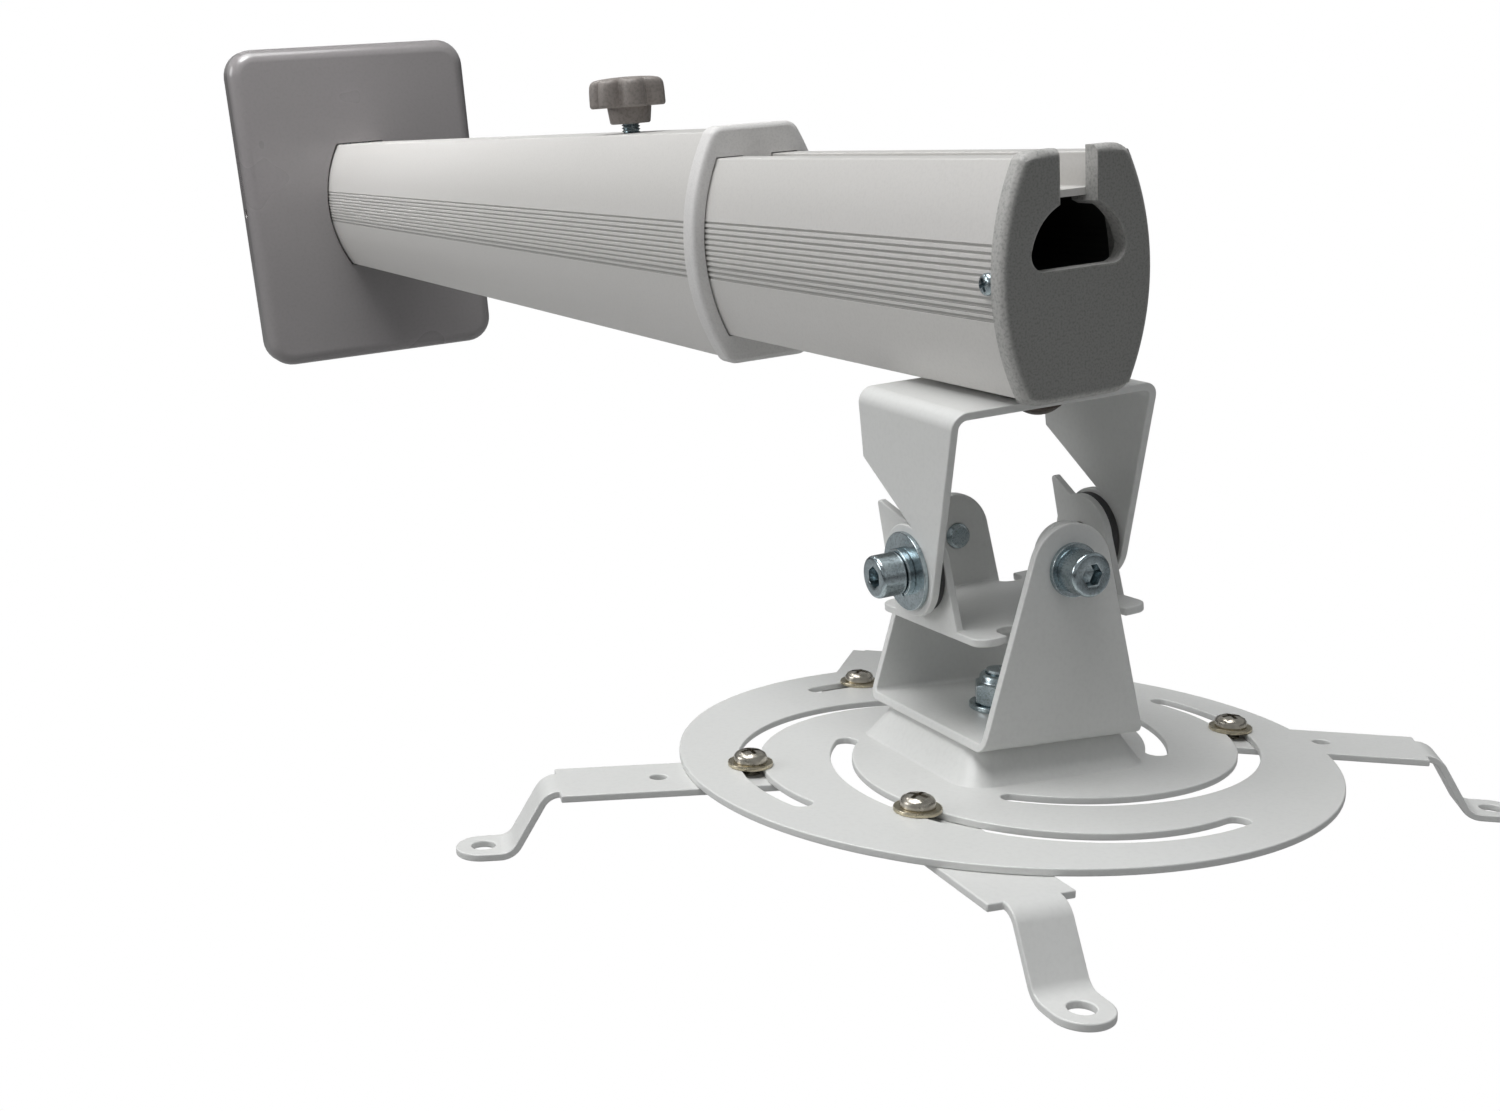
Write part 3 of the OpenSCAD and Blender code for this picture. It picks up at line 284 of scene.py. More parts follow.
# %% Cloud group
CLEAREST, CLOUDIEST = 0.15, 0.85
ct, cloud_in, cloud_out = new_group(
    "cloudy_tone", {"Size": 18.0, "Lengthwise": 1.0}, ("Tone",))
place = ct.nodes.new("ShaderNodeTexCoord")
split = ct.nodes.new("ShaderNodeSeparateXYZ")
drawn = ct.nodes.new("ShaderNodeCombineXYZ")
shrink = ct.nodes.new("ShaderNodeMath")
shrink.operation = "DIVIDE"
cloud = ct.nodes.new("ShaderNodeTexNoise")
cloud.inputs["Detail"].default_value = 2.5
ct.links.new(place.outputs["Object"], split.inputs[0])
ct.links.new(split.outputs["X"], drawn.inputs["X"])
ct.links.new(split.outputs["Z"], drawn.inputs["Z"])
ct.links.new(split.outputs["Y"], shrink.inputs[0])
ct.links.new(cloud_in.outputs["Lengthwise"], shrink.inputs[1])
ct.links.new(shrink.outputs[0], drawn.inputs["Y"])
ct.links.new(drawn.outputs[0], cloud.inputs["Vector"])
ct.links.new(cloud_in.outputs["Size"], cloud.inputs["Scale"])
tone = ramp(ct, cloud.outputs["Fac"], CLEAREST, CLOUDIEST)
ct.links.new(tone, cloud_out.inputs["Tone"])
print("cloudy_tone group")

# %% [markdown]
# Rubbed and highlit edges: the Bevel node gives the normal as if the edges were rounded.
# Where it departs from the true normal there is an edge. The edge is painted brighter,
# partly as rubbed wear and partly as a painted highlight, and a noise breaks the mark up
# so that it isn't a drawn line.

# %% Edge group
EDGE_STARTS, EDGE_FULL = 0.999, 0.93
GAPS_UP_TO, MARKS_FROM = 0.35, 0.62
# This group paints edges brighter, partly as rubbed wear and partly as a painted highlight.
et, edge_in, edge_out = new_group(
    "rubbed_and_highlit_edge", {"Width": 0.0007, "Broken": 260.0}, ("Edge",))
place = et.nodes.new("ShaderNodeTexCoord")
rounded = et.nodes.new("ShaderNodeBevel")
rounded.samples = 4
true_normal = et.nodes.new("ShaderNodeNewGeometry")
same = et.nodes.new("ShaderNodeVectorMath")
same.operation = "DOT_PRODUCT"
patches = et.nodes.new("ShaderNodeTexNoise")
product = et.nodes.new("ShaderNodeMath")
product.operation = "MULTIPLY"
et.links.new(edge_in.outputs["Width"], rounded.inputs["Radius"])
et.links.new(edge_in.outputs["Broken"], patches.inputs["Scale"])
et.links.new(place.outputs["Object"], patches.inputs["Vector"])
et.links.new(rounded.outputs[0], same.inputs[0])
et.links.new(true_normal.outputs["Normal"], same.inputs[1])
et.links.new(ramp(et, same.outputs["Value"], EDGE_STARTS, EDGE_FULL), product.inputs[0])
et.links.new(ramp(et, patches.outputs["Fac"], GAPS_UP_TO, MARKS_FROM), product.inputs[1])
et.links.new(product.outputs[0], edge_out.inputs["Edge"])
print("rubbed_and_highlit_edge group")


# %% [markdown]
# ## The finishes
# One function places the three groups in a material of its own, so that each finish is
# a short table of values: base colour, the darker tone of its clouds, the colour of a
# rubbed edge with its painted highlight, grain, roughness, and how metallic and how
# lacquered it is. Values that are the same all over go straight on the shader's sockets.


# %% Finish builder
SPECK_COLOUR = (0.02, 0.02, 0.02)
RELIEF_DEPTH = 0.2 * MM
COAT_ROUGHNESS = 0.12


def mixed(tree, factor, first, second, amount=1.0):
    """A colour that goes from first to second by factor times amount."""
    node = tree.nodes.new("ShaderNodeMix")
    node.data_type = "RGBA"
    scaled = tree.nodes.new("ShaderNodeMath")
    scaled.operation = "MULTIPLY"
    scaled.inputs[1].default_value = amount
    tree.links.new(factor, scaled.inputs[0])
    tree.links.new(scaled.outputs[0], node.inputs["Factor"])
    for socket, value in (("A", first), ("B", second)):
        if isinstance(value, tuple):
            node.inputs[socket].default_value = (*value, 1)
        else:
            tree.links.new(value, node.inputs[socket])
    return node.outputs["Result"]


def finish(name, colour, cloudy, rubbed, grain=900.0, coarse=0.35, bump=0.12, speck=0.05,
           rough=(0.38, 0.5), metal=0.0, coat=0.0, cloud=18.0, lengthwise=1.0,
           edge=0.5, edge_width=0.7):
    """Makes one finish. Widths are in millimetres, and sizes of noise are per metre."""
    material, shader = plain_material(name, colour, rough[0])
    tree = material.node_tree
    groups = {}
    for key, group in (("grain", gt), ("cloud", ct), ("edge", et)):
        groups[key] = tree.nodes.new("ShaderNodeGroup")
        groups[key].node_tree = group
    groups["grain"].inputs["Size"].default_value = grain
    groups["grain"].inputs["Coarse share"].default_value = coarse
    groups["cloud"].inputs["Size"].default_value = cloud
    groups["cloud"].inputs["Lengthwise"].default_value = lengthwise
    groups["edge"].inputs["Width"].default_value = edge_width * MM
    tone = groups["cloud"].outputs["Tone"]
    base = mixed(tree, tone, colour, cloudy)
    specked = mixed(tree, groups["grain"].outputs["Speck"], base, SPECK_COLOUR, speck)
    # Edges are mixed towards the brighter edge colour: partly wear, partly a painted highlight.
    worn_and_highlit = mixed(tree, groups["edge"].outputs["Edge"], specked, rubbed, edge)
    tree.links.new(worn_and_highlit, shader.inputs["Base Color"])
    tree.links.new(ramp(tree, tone, 0.0, 1.0, *rough), shader.inputs["Roughness"])
    relief = tree.nodes.new("ShaderNodeBump")
    relief.inputs["Strength"].default_value = bump
    relief.inputs["Distance"].default_value = RELIEF_DEPTH
    tree.links.new(groups["grain"].outputs["Height"], relief.inputs["Height"])
    tree.links.new(relief.outputs["Normal"], shader.inputs["Normal"])
    shader.inputs["Metallic"].default_value = metal
    shader.inputs["Coat Weight"].default_value = coat
    shader.inputs["Coat Roughness"].default_value = COAT_ROUGHNESS
    return material


print("finish builder ready")

# %% [markdown]
# The sheet-metal parts and both tubes are powder coated in a light grey. The cover and
# the collar are moulded, the cover with a gloss. The cap has a dark grain and the knob a
# brown satin. Small parts are zinc plated: bluish on the socket bolts and the lock nut,
# yellow on the leg screws. Hidden parts get a finish too: bare zinc on the wall bracket,
# oiled steel, natural nylon and the dark fibre of a friction ring. Each row gives the base
# colour, its cloudy tone and the colour of a rubbed edge with its painted highlight, and
# then what departs from usual.

# %% Finishes
FINISHES = {
    "sheet_paint": finish(
        "sheet_coat", (0.70, 0.705, 0.695), (0.66, 0.665, 0.65), (0.80, 0.80, 0.79),
        grain=700.0, bump=0.10, speck=0.03, rough=(0.34, 0.46), coat=0.25, edge=0.5),
    "tube_paint": finish(
        "tube_coat", (0.66, 0.645, 0.63), (0.61, 0.60, 0.575), (0.78, 0.77, 0.76),
        grain=1100.0, bump=0.08, speck=0.04, rough=(0.36, 0.46), coat=0.15, cloud=30.0,
        lengthwise=14.0, edge=0.4),
    "cover_plastic": finish(
        "cover_gloss", (0.25, 0.235, 0.24), (0.22, 0.212, 0.21), (0.38, 0.365, 0.37),
        grain=500.0, bump=0.05, speck=0.05, rough=(0.24, 0.34), coat=0.6, cloud=9.0, edge=0.25),
    "collar_plastic": finish(
        "collar_grain", (0.74, 0.73, 0.72), (0.68, 0.67, 0.66), (0.82, 0.81, 0.80),
        grain=1300.0, bump=0.2, speck=0.08, rough=(0.44, 0.55), edge=0.45),
    "cap_plastic": finish(
        "cap_grain", (0.27, 0.27, 0.26), (0.235, 0.235, 0.225), (0.47, 0.46, 0.45),
        grain=1500.0, coarse=0.5, bump=0.35, speck=0.25, rough=(0.46, 0.58), edge=0.75,
        edge_width=1.0),
    "knob_plastic": finish(
        "knob_satin", (0.30, 0.265, 0.245), (0.22, 0.20, 0.185), (0.42, 0.39, 0.36),
        grain=800.0, bump=0.3, speck=0.25, rough=(0.38, 0.55), cloud=60.0, edge=0.6),
    "nylon": finish(
        "natural_nylon", (0.72, 0.71, 0.65), (0.66, 0.65, 0.58), (0.80, 0.79, 0.74),
        grain=600.0, bump=0.06, rough=(0.35, 0.5), cloud=40.0),
    "bracket_steel": finish(
        "bracket_zinc", (0.55, 0.58, 0.60), (0.42, 0.45, 0.47), (0.75, 0.76, 0.77),
        grain=700.0, bump=0.08, rough=(0.3, 0.5), metal=1.0, cloud=40.0),
    "zinc_bolt": finish(
        "blue_zinc", (0.60, 0.68, 0.71), (0.30, 0.37, 0.40), (0.88, 0.91, 0.92),
        grain=1500.0, bump=0.12, speck=0.3, rough=(0.16, 0.32), metal=1.0, cloud=190.0,
        edge=0.7, edge_width=0.4),
    "dark_bolt": finish(
        "oiled_steel", (0.17, 0.14, 0.12), (0.09, 0.075, 0.065), (0.36, 0.32, 0.28),
        grain=1200.0, bump=0.2, speck=0.3, rough=(0.32, 0.5), metal=0.85, cloud=200.0,
        edge=0.6, edge_width=0.4),
    "yellow_zinc": finish(
        "yellow_zinc_plate", (0.66, 0.60, 0.44), (0.42, 0.37, 0.28), (0.88, 0.85, 0.74),
        grain=1400.0, bump=0.1, speck=0.2, rough=(0.2, 0.38), metal=1.0, cloud=230.0,
        edge=0.6, edge_width=0.35),
    "friction_fibre": finish(
        "dark_fibre", (0.06, 0.06, 0.06), (0.04, 0.04, 0.04), (0.12, 0.12, 0.12),
        grain=2000.0, bump=0.4, speck=0.4, rough=(0.6, 0.75)),
}

# %% [markdown]
# The end cap is dark only on its grained face. Its rounded rim and its sides are painted
# paler and coarser, as a painted highlight where they turn towards the lamps, so the cap's
# finish needs one more mask: how far the surface turns away from the front. The
# object-space normal gives it, which stays right when the arm slides.

# %% Painted highlight on the cap's rim
FRONT_ENDS, RIM_STARTS = -0.99, -0.80
LIT_RIM_COLOUR, LIT_RIM_SPECK, RIM_GRAIN = (0.46, 0.455, 0.44), (0.30, 0.30, 0.29), 1200.0
cap_tree = FINISHES["cap_plastic"].node_tree
cap_shader = cap_tree.nodes["Principled BSDF"]
facing = cap_tree.nodes.new("ShaderNodeTexCoord")
facing_split = cap_tree.nodes.new("ShaderNodeSeparateXYZ")
cap_tree.links.new(facing.outputs["Normal"], facing_split.inputs[0])
# Painted highlight: faces turned away from the front are painted paler.
lit_rim_mask = ramp(cap_tree, facing_split.outputs["Y"], FRONT_ENDS, RIM_STARTS)
under = cap_shader.inputs["Base Color"].links[0].from_socket
rim_grain = cap_tree.nodes.new("ShaderNodeGroup")
rim_grain.node_tree = gt
rim_grain.inputs["Size"].default_value = RIM_GRAIN
lit_rim_tone = mixed(cap_tree, rim_grain.outputs["Speck"], LIT_RIM_COLOUR, LIT_RIM_SPECK, 0.8)
painted_lit_rim = mixed(cap_tree, lit_rim_mask, under, lit_rim_tone)
cap_tree.links.new(painted_lit_rim, cap_shader.inputs["Base Color"])
print("cap rim mask ready")

# %% [markdown]
# Both tubes carry eleven fine grooves along the middle of each bowed side. They are
# painted darker than the ridges, as painted shade in the hollows. The mask is a wave in
# height with the pitch of the grooves, kept to the grooved band. The inside of each tube is
# painted near-black, as painted shade in the hollow tube; the tubes bring an attribute
# that marks their inner faces.

# %% Painted shade in the grooves and inside the tubes
GROOVE_PITCH, GROOVE_COUNT = 2.0, 11
GROOVE_SHADE, INSIDE_SHADE = (0.30, 0.295, 0.28), (0.035, 0.035, 0.035)
tube_tree = FINISHES["tube_paint"].node_tree
tube_shader = tube_tree.nodes["Principled BSDF"]


def maths(tree, kind, first, second=0.0):
    node = tree.nodes.new("ShaderNodeMath")
    node.operation = kind
    for socket, value in zip(node.inputs, (first, second)):
        if isinstance(value, (int, float)):
            socket.default_value = value
        else:
            tree.links.new(value, socket)
    return node.outputs[0]


where = tube_tree.nodes.new("ShaderNodeTexCoord")
where_split = tube_tree.nodes.new("ShaderNodeSeparateXYZ")
tube_tree.links.new(where.outputs["Object"], where_split.inputs[0])
level = where_split.outputs["Z"]
turns_per_metre = 2 * math.pi / (GROOVE_PITCH * MM)
wave = maths(tube_tree, "COSINE", maths(tube_tree, "MULTIPLY", level, turns_per_metre))
off_middle = maths(tube_tree, "ABSOLUTE", level)
band = maths(tube_tree, "LESS_THAN", off_middle, GROOVE_PITCH * GROOVE_COUNT / 2 * MM)
# Painted shade: the grooves are painted darker than the ridges.
painted_groove_shade = maths(tube_tree, "MULTIPLY", ramp(tube_tree, wave, 0.0, 0.9), band)
under = tube_shader.inputs["Base Color"].links[0].from_socket
groove_shaded = mixed(tube_tree, painted_groove_shade, under, GROOVE_SHADE, 0.6)
# Painted shade: the inner faces of the tube are painted near-black.
inside_shade_mark = tube_tree.nodes.new("ShaderNodeAttribute")
inside_shade_mark.attribute_name = "shaded_inside"
inside_shaded = mixed(tube_tree, inside_shade_mark.outputs["Fac"], groove_shaded, INSIDE_SHADE, 0.95)
tube_tree.links.new(inside_shaded, tube_shader.inputs["Base Color"])
print("tube masks ready")

# %% [markdown]
# The yellow plating of the leg screws has gone grey on the heads, where the driver and the
# fingers rub it, while the washers keep their yellow edge. The screws bring an attribute
# that says so, and the finish mixes towards plain steel by it.

# %% Greyed plating
GREY_STEEL = (0.50, 0.475, 0.43)
yellow_tree = FINISHES["yellow_zinc"].node_tree
yellow_shader = yellow_tree.nodes["Principled BSDF"]
rubbed = yellow_tree.nodes.new("ShaderNodeAttribute")
rubbed.attribute_name = "rubbed_plating"
under = yellow_shader.inputs["Base Color"].links[0].from_socket
greyed = mixed(yellow_tree, rubbed.outputs["Fac"], under, GREY_STEEL, 0.8)
yellow_tree.links.new(greyed, yellow_shader.inputs["Base Color"])
print("plating mask ready")

# %% [markdown]
# ## Finishes on the CAD nodes
# The record names a finish for every part of the CAD model. Parts that nobody sees, such
# as the clamp nut inside the tube, keep their CAD shape and only need that finish, so we
# hand it to every node now. Pieces made later bring their own.

# %% Finishes on the CAD nodes
for node, thing in frame["nodes"].items():
    thing.data.materials.clear()
    thing.data.materials.append(FINISHES[slot_of[node]])
print("finishes", len(FINISHES))

# %% [markdown]
# ## Softened copies
# Sheet metal, moulded plastic and extrusions never have knife edges: paint and tooling
# leave a small round that catches the light. The CAD solids are sharp, so we copy a
# node, merge the loose triangles, join what is flat, and bevel the sharp edges. The copy
# then stands for the node. A Weighted Normal modifier keeps the flat faces flat.

# %% Copy and bevel helpers
MERGE = 0.02 * MM
FLAT = math.radians(0.4)
SHARP = math.radians(38)


def join_flat(bm):
    bmesh.ops.dissolve_limit(
        bm, angle_limit=FLAT, verts=bm.verts, edges=bm.edges, delimit=set())


def whole_copy(node):
    bm = bmesh.new()
    bm.from_mesh(frame["nodes"][node].data)
    bmesh.ops.remove_doubles(bm, verts=bm.verts, dist=MERGE)
    return bm


def sharp_edges(bm, angle=30.0):
    limit = math.radians(angle)
    return [e for e in bm.edges if len(e.link_faces) == 2 and e.calc_face_angle(0.0) > limit]


def round_off(bm, edges, width, segments=2):
    bmesh.ops.bevel(
        bm, geom=edges, offset=width * MM, offset_type="OFFSET", segments=segments,
        profile=0.5, affect="EDGES", material=-1, clamp_overlap=False)


def piece(bm, name, node):
    """Makes the bmesh a piece that stands for a node and rides on the node's body."""
    for face in bm.faces:
        face.smooth = True
    for edge in bm.edges:
        edge.smooth = len(edge.link_faces) != 2 or edge.calc_face_angle(0.0) < SHARP
    mesh = bpy.data.meshes.new(name)
    bm.to_mesh(mesh)
    bm.free()
    mesh.materials.append(FINISHES[slot_of[node]])
    thing = bpy.data.objects.new(name, mesh)
    bpy.context.scene.collection.objects.link(thing)
    even = thing.modifiers.new("even_shading", "WEIGHTED_NORMAL")
    even.keep_sharp = True
    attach(thing, body_of[node])
    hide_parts(node)
    return thing


def soften(node, width, segments=2, angle=30.0, chosen=None):
    """Rounds a node's sharp edges, or the chosen ones of them, by a width in millimetres."""
    bm = whole_copy(node)
    join_flat(bm)
    edges = [e for e in sharp_edges(bm, angle) if chosen is None or chosen(e)]
    round_off(bm, edges, width, segments)
    made = piece(bm, node + "_finished", node)
    print(node, "edges rounded", len(edges), "faces", len(made.data.polygons))
    return made


print("helpers ready")

# %% [markdown]
# ## Folded sheet metal
# The two yokes, the cross piece, the disc and the four legs are punched from sheet about
# 2 mm thick, bent, and powder coated. The coat draws back from the punched edge and
# leaves a round of nearly half a millimetre, with three facets in our bevel.

# %% Sheet metal parts
SHEET_ROUND = 0.45
for node in ("upper_yoke", "cross_piece", "lower_yoke", "disc_plate",
             "leg_front", "leg_right", "leg_back_side", "leg_left"):
    soften(node, SHEET_ROUND, 3)

# %% [markdown]
# ## The two tubes
# Both tubes are extruded: flat top and bottom, bowed sides and a band of fine grooves.
# Only their long corners are rounded by the die. The grooves are too fine to bevel, so
# the edges are chosen by their direction and height.


# %% Tubes
GROOVE_BAND = 12.5 * MM
LENGTHWISE = 0.98
CORNER_ANGLE = 18.0
# Each tube: the round of its corners, and half the width and the floor of its open channel.
TUBES = {"outer_tube": (0.7, 0.0, 99.0), "inner_tube": (0.45, 6.6, 22.8)}


def long_corner(edge):
    a, b = (v.co for v in edge.verts)
    lengthwise = abs((a - b).normalized().y) > LENGTHWISE
    return lengthwise and min(abs(a.z), abs(b.z)) > GROOVE_BAND


def mark_inside(tube, channel_half, channel_floor):
    """Marks faces that look at the tube's axis, except those of the open channel."""
    # These marks carry the painted shade of the tube's inside.
    marks = tube.data.attributes.new("shaded_inside", "FLOAT", "FACE")
    for face, mark in zip(tube.data.polygons, marks.data):
        middle, normal = face.center, face.normal
        inward = normal.x * middle.x + normal.z * middle.z < -1e-6
        in_channel = abs(middle.x) <= channel_half * MM and middle.z >= channel_floor * MM
        mark.value = float(inward and not in_channel)
    print(tube.name, "inner faces", sum(m.value > 0.5 for m in marks.data))


for node, (corner_round, channel_half, channel_floor) in TUBES.items():
    tube = soften(node, corner_round, 3, CORNER_ANGLE, long_corner)
    mark_inside(tube, channel_half, channel_floor)

# %% [markdown]
# ## Mouldings
# The cover over the wall plate is one smooth shell, so only the rims of its opening and
# of its screw holes are eased.

# %% Cover
COVER_ROUND, RIM_ANGLE = 0.5, 40.0
soften("wall_cover", COVER_ROUND, 3, RIM_ANGLE)

# %% [markdown]
# The collar and the end cap have a rounded front rim that the CAD model draws as a few
# small steps. The outer corners of those steps lie on the true quarter round, so we only
# have to slide each inner corner forward onto the next outer one and merge the two. What
# is left is a smooth round with the right outline.


# %% Collar and cap
# Each rim: how deep its round goes, and the round of its outline's corners.
RIMS = {"collar": (2.0, 3.0), "end_cap": (2.4, 4.0)}


def steps_to_round(bm, front, depth):
    """Turns a stepped rim behind y = -front into a quarter round. Sizes are in millimetres."""
    back = -(front - depth) * MM
    moved = 0
    for vert in sorted(bm.verts, key=lambda v: -v.co.y):
        if vert.co.y > back + 0.05 * MM:
            continue
        for edge in vert.link_edges:
            other = edge.other_vert(vert)
            step = vert.co.y - other.co.y
            if 0.01 * MM < step < depth * MM and edge.calc_length() - step < 0.001 * MM:
                vert.co = other.co
                moved += 1
                break
    bmesh.ops.remove_doubles(bm, verts=bm.verts, dist=MERGE)
    join_flat(bm)
    return moved


def soften_corners(bm, width, segments=5):
    """Rounds the four long corners of a rim's outline."""
    top = max(v.co.z for v in bm.verts)
    broad = max(v.co.x for v in bm.verts)

    def at_corner(vert):
        return abs(vert.co.z) > top - 3 * MM and 0.4 * broad < abs(vert.co.x) < 0.85 * broad

    corners = [e for e in sharp_edges(bm, 15.0) if all(at_corner(v) for v in e.verts)
               and abs(e.verts[0].co.y - e.verts[1].co.y) > 0.1 * e.calc_length()]
    round_off(bm, corners, width, segments)
    return len(corners)


for node, (depth, corner) in RIMS.items():
    low, high = frame["nodes"][node].bound_box[0], frame["nodes"][node].bound_box[6]
    front = -min(low[1], high[1]) / MM
    bm = whole_copy(node)
    moved = steps_to_round(bm, front, depth)
    rounded = soften_corners(bm, corner)
    piece(bm, node + "_finished", node)
    print(node, "front", round(front, 2), "corners moved", moved, "corner edges", rounded)

# %% [markdown]
# ## Places of the head's parts
# The head hangs from the arm by a vertical bolt and turns about three more axes. Its
# small parts are modelled along +Z at the origin, where they are easy to think about, and
# then carried to their place by the same chain of moves that the CAD model uses.


# %% Places
def shift(x=0.0, y=0.0, z=0.0):
    return Matrix.Translation(Vector((x, y, z)) * MM)


def turned(degrees, axis):
    return Matrix.Rotation(math.radians(degrees), 4, axis)


YOKE_HALF_W, LOW_HALF_L, WASHER_T, SPRING_T = 34.8, 33.6, 1.6, 2.4
SWIVEL_Y, SWIVEL_TURN = -795, -3
CROSS_Y, CROSS_Z, TILT, ROLL = 18, -86.5, -4, 6.5
AT_SWIVEL = shift(y=SWIVEL_Y) @ turned(SWIVEL_TURN, "Z")
AT_CROSS = AT_SWIVEL @ shift(y=CROSS_Y, z=CROSS_Z) @ turned(TILT, "X")
AT_ROLL = AT_CROSS @ turned(ROLL, "Y")
LEFT_SIDE = AT_CROSS @ shift(x=-YOKE_HALF_W) @ turned(-90, "Y")
FRONT_SIDE = AT_CROSS @ shift(y=-LOW_HALF_L) @ turned(90, "X")
BACK_SIDE = AT_CROSS @ shift(y=LOW_HALF_L) @ turned(-90, "X")
print("tilt axis at", [round(c, 4) for c in AT_CROSS.to_translation()])


def put(bm, place, name, node):
    """Carries a finished bmesh to its place and makes it the piece for that node."""
    bmesh.ops.transform(bm, matrix=place, verts=bm.verts)
    made = piece(bm, name, node)
    points = [v.co for v in made.data.vertices]
    off = max(abs(end(p[i] for p in points) - want[i])
              for end, want in zip((min, max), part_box(node)) for i in range(3))
    print(name, "faces", len(made.data.polygons),
          "largest gap to the CAD box", round(off / MM, 2), "mm")
    return made


# %% [markdown]
# ## Turned parts
# Bolt heads, nuts and the knob all begin as a turned shape: a few points that outline
# half of the part, spun once round. Where the real part isn't round, we then push its
# points inwards to the wanted outline. A hexagon is the largest radius a point may have at
# its own angle, so the slanted chamfer leaves the curved edge that a real nut has.


# %% Lathe and outlines
WELD = 0.002 * MM


def lathe(profile, steps=48):
    """Spins half an outline of (radius, height) points, in millimetres, about Z."""
    bm = bmesh.new()
    points = [bm.verts.new((r * MM, 0, z * MM)) for r, z in profile]
    lines = [bm.edges.new(pair) for pair in zip(points, points[1:])]
    bmesh.ops.spin(bm, geom=points + lines, cent=(0, 0, 0), axis=(0, 0, 1),
                   angle=2 * math.pi, steps=steps, use_merge=True)
    bmesh.ops.remove_doubles(bm, verts=bm.verts, dist=WELD)
    bmesh.ops.recalc_face_normals(bm, faces=bm.faces)
    return bm


def press_in(bm, outline, low, high, inner=0.0, outer=1e3):
    """Keeps points between two heights and two radii inside an outline, a radius by angle."""
    for vert in bm.verts:
        radius = math.hypot(vert.co.x, vert.co.y)
        if low <= vert.co.z / MM <= high and inner < radius / MM < outer:
            wanted = outline(math.atan2(vert.co.y, vert.co.x)) * MM
            if radius > wanted:
                vert.co.xy *= wanted / radius


def hexagon(across_flats):
    return lambda angle: across_flats / 2 / math.cos((angle % (math.pi / 3)) - math.pi / 6)


print("lathe ready")

# %% [markdown]
# A screw thread is a helix. Spin can climb while it turns, so one V-shaped groove of one
# pitch is swept round as many times as needed, and the turns join up by themselves when
# the doubles are merged. Two planes cut the ends flat, and the open rings are filled. A
# helper presses the last turn in to a cone, which is the lead-in of a real bolt.


# %% Thread
THREAD_DEPTH = 0.6


def everything(bm):
    return bm.verts[:] + bm.edges[:] + bm.faces[:]


def thread(diameter, pitch, low, high, steps=24):
    """A threaded rod between two heights, all in millimetres."""
    crest, root = diameter / 2, diameter / 2 - THREAD_DEPTH * pitch
    turns = math.ceil((high - low) / pitch) + 3
    bm = bmesh.new()
    groove = [(root, 0.0), (crest, 0.4), (crest, 0.55), (root, 0.95), (root, 1.0)]
    points = [bm.verts.new((r * MM, 0, (low + (z - 2) * pitch) * MM)) for r, z in groove]
    lines = [bm.edges.new(pair) for pair in zip(points, points[1:])]
    bmesh.ops.spin(bm, geom=points + lines, cent=(0, 0, 0), axis=(0, 0, 1),
                   dvec=(0, 0, pitch / steps * MM), angle=2 * math.pi * turns,
                   steps=steps * turns)
    bmesh.ops.remove_doubles(bm, verts=bm.verts, dist=WELD)
    for height, way in ((low, -1), (high, 1)):
        bmesh.ops.bisect_plane(bm, geom=everything(bm), plane_co=(0, 0, height * MM),
                               plane_no=(0, 0, way), clear_outer=True, dist=1e-7)
    bmesh.ops.holes_fill(bm, edges=[e for e in bm.edges if e.is_boundary], sides=0)
    bmesh.ops.recalc_face_normals(bm, faces=bm.faces)
    return bm


def join(first, second):
    """Puts a second bmesh into the first one."""
    mesh = bpy.data.meshes.new("joined")
    second.to_mesh(mesh)
    second.free()
    first.from_mesh(mesh)
    bpy.data.meshes.remove(mesh)
    return first


def lead_in(bm, low, length, radius):
    """Presses the points near the lower end in to a cone."""
    for vert in bm.verts:
        far = vert.co.z / MM - low
        if far < length:
            press = (radius - length + far) * MM
            now = math.hypot(vert.co.x, vert.co.y)
            if now > press:
                vert.co.xy *= press / now


trial = thread(8, 1.25, 0, 10)
print("trial thread, 10 mm long: faces", len(trial.faces),
      "open edges", sum(e.is_boundary for e in trial.edges))
trial.free()

# %% [markdown]
# ## Socket head bolts
# Three of the four bolts at the hinge points are M8 cap bolts. Their heads are knurled
# lengthwise for the fingers, have a bright turned rim, and a dark hexagon socket. The knurl
# is every second column of the lathe pressed in a little; the socket is the inner ring
# pressed in to a hexagon. The fourth bolt, on the right, is dark and keeps its CAD shape.

# %% Bolts
SOCKET_AF, HEAD_D, HEAD_H, BOLT_D, BOLT_PITCH = 6.0, 13.0, 8.0, 8.0, 1.25
KNURLS, KNURL_DEPTH, KNURL_FROM, KNURL_TO = 48, 0.22, 0.6, 6.7
LEAD_IN, ROOTED = 0.8, 0.2


def knurl(angle):
    column = round(angle / (math.pi / KNURLS))
    return HEAD_D / 2 - (KNURL_DEPTH if column % 2 else 0.0)


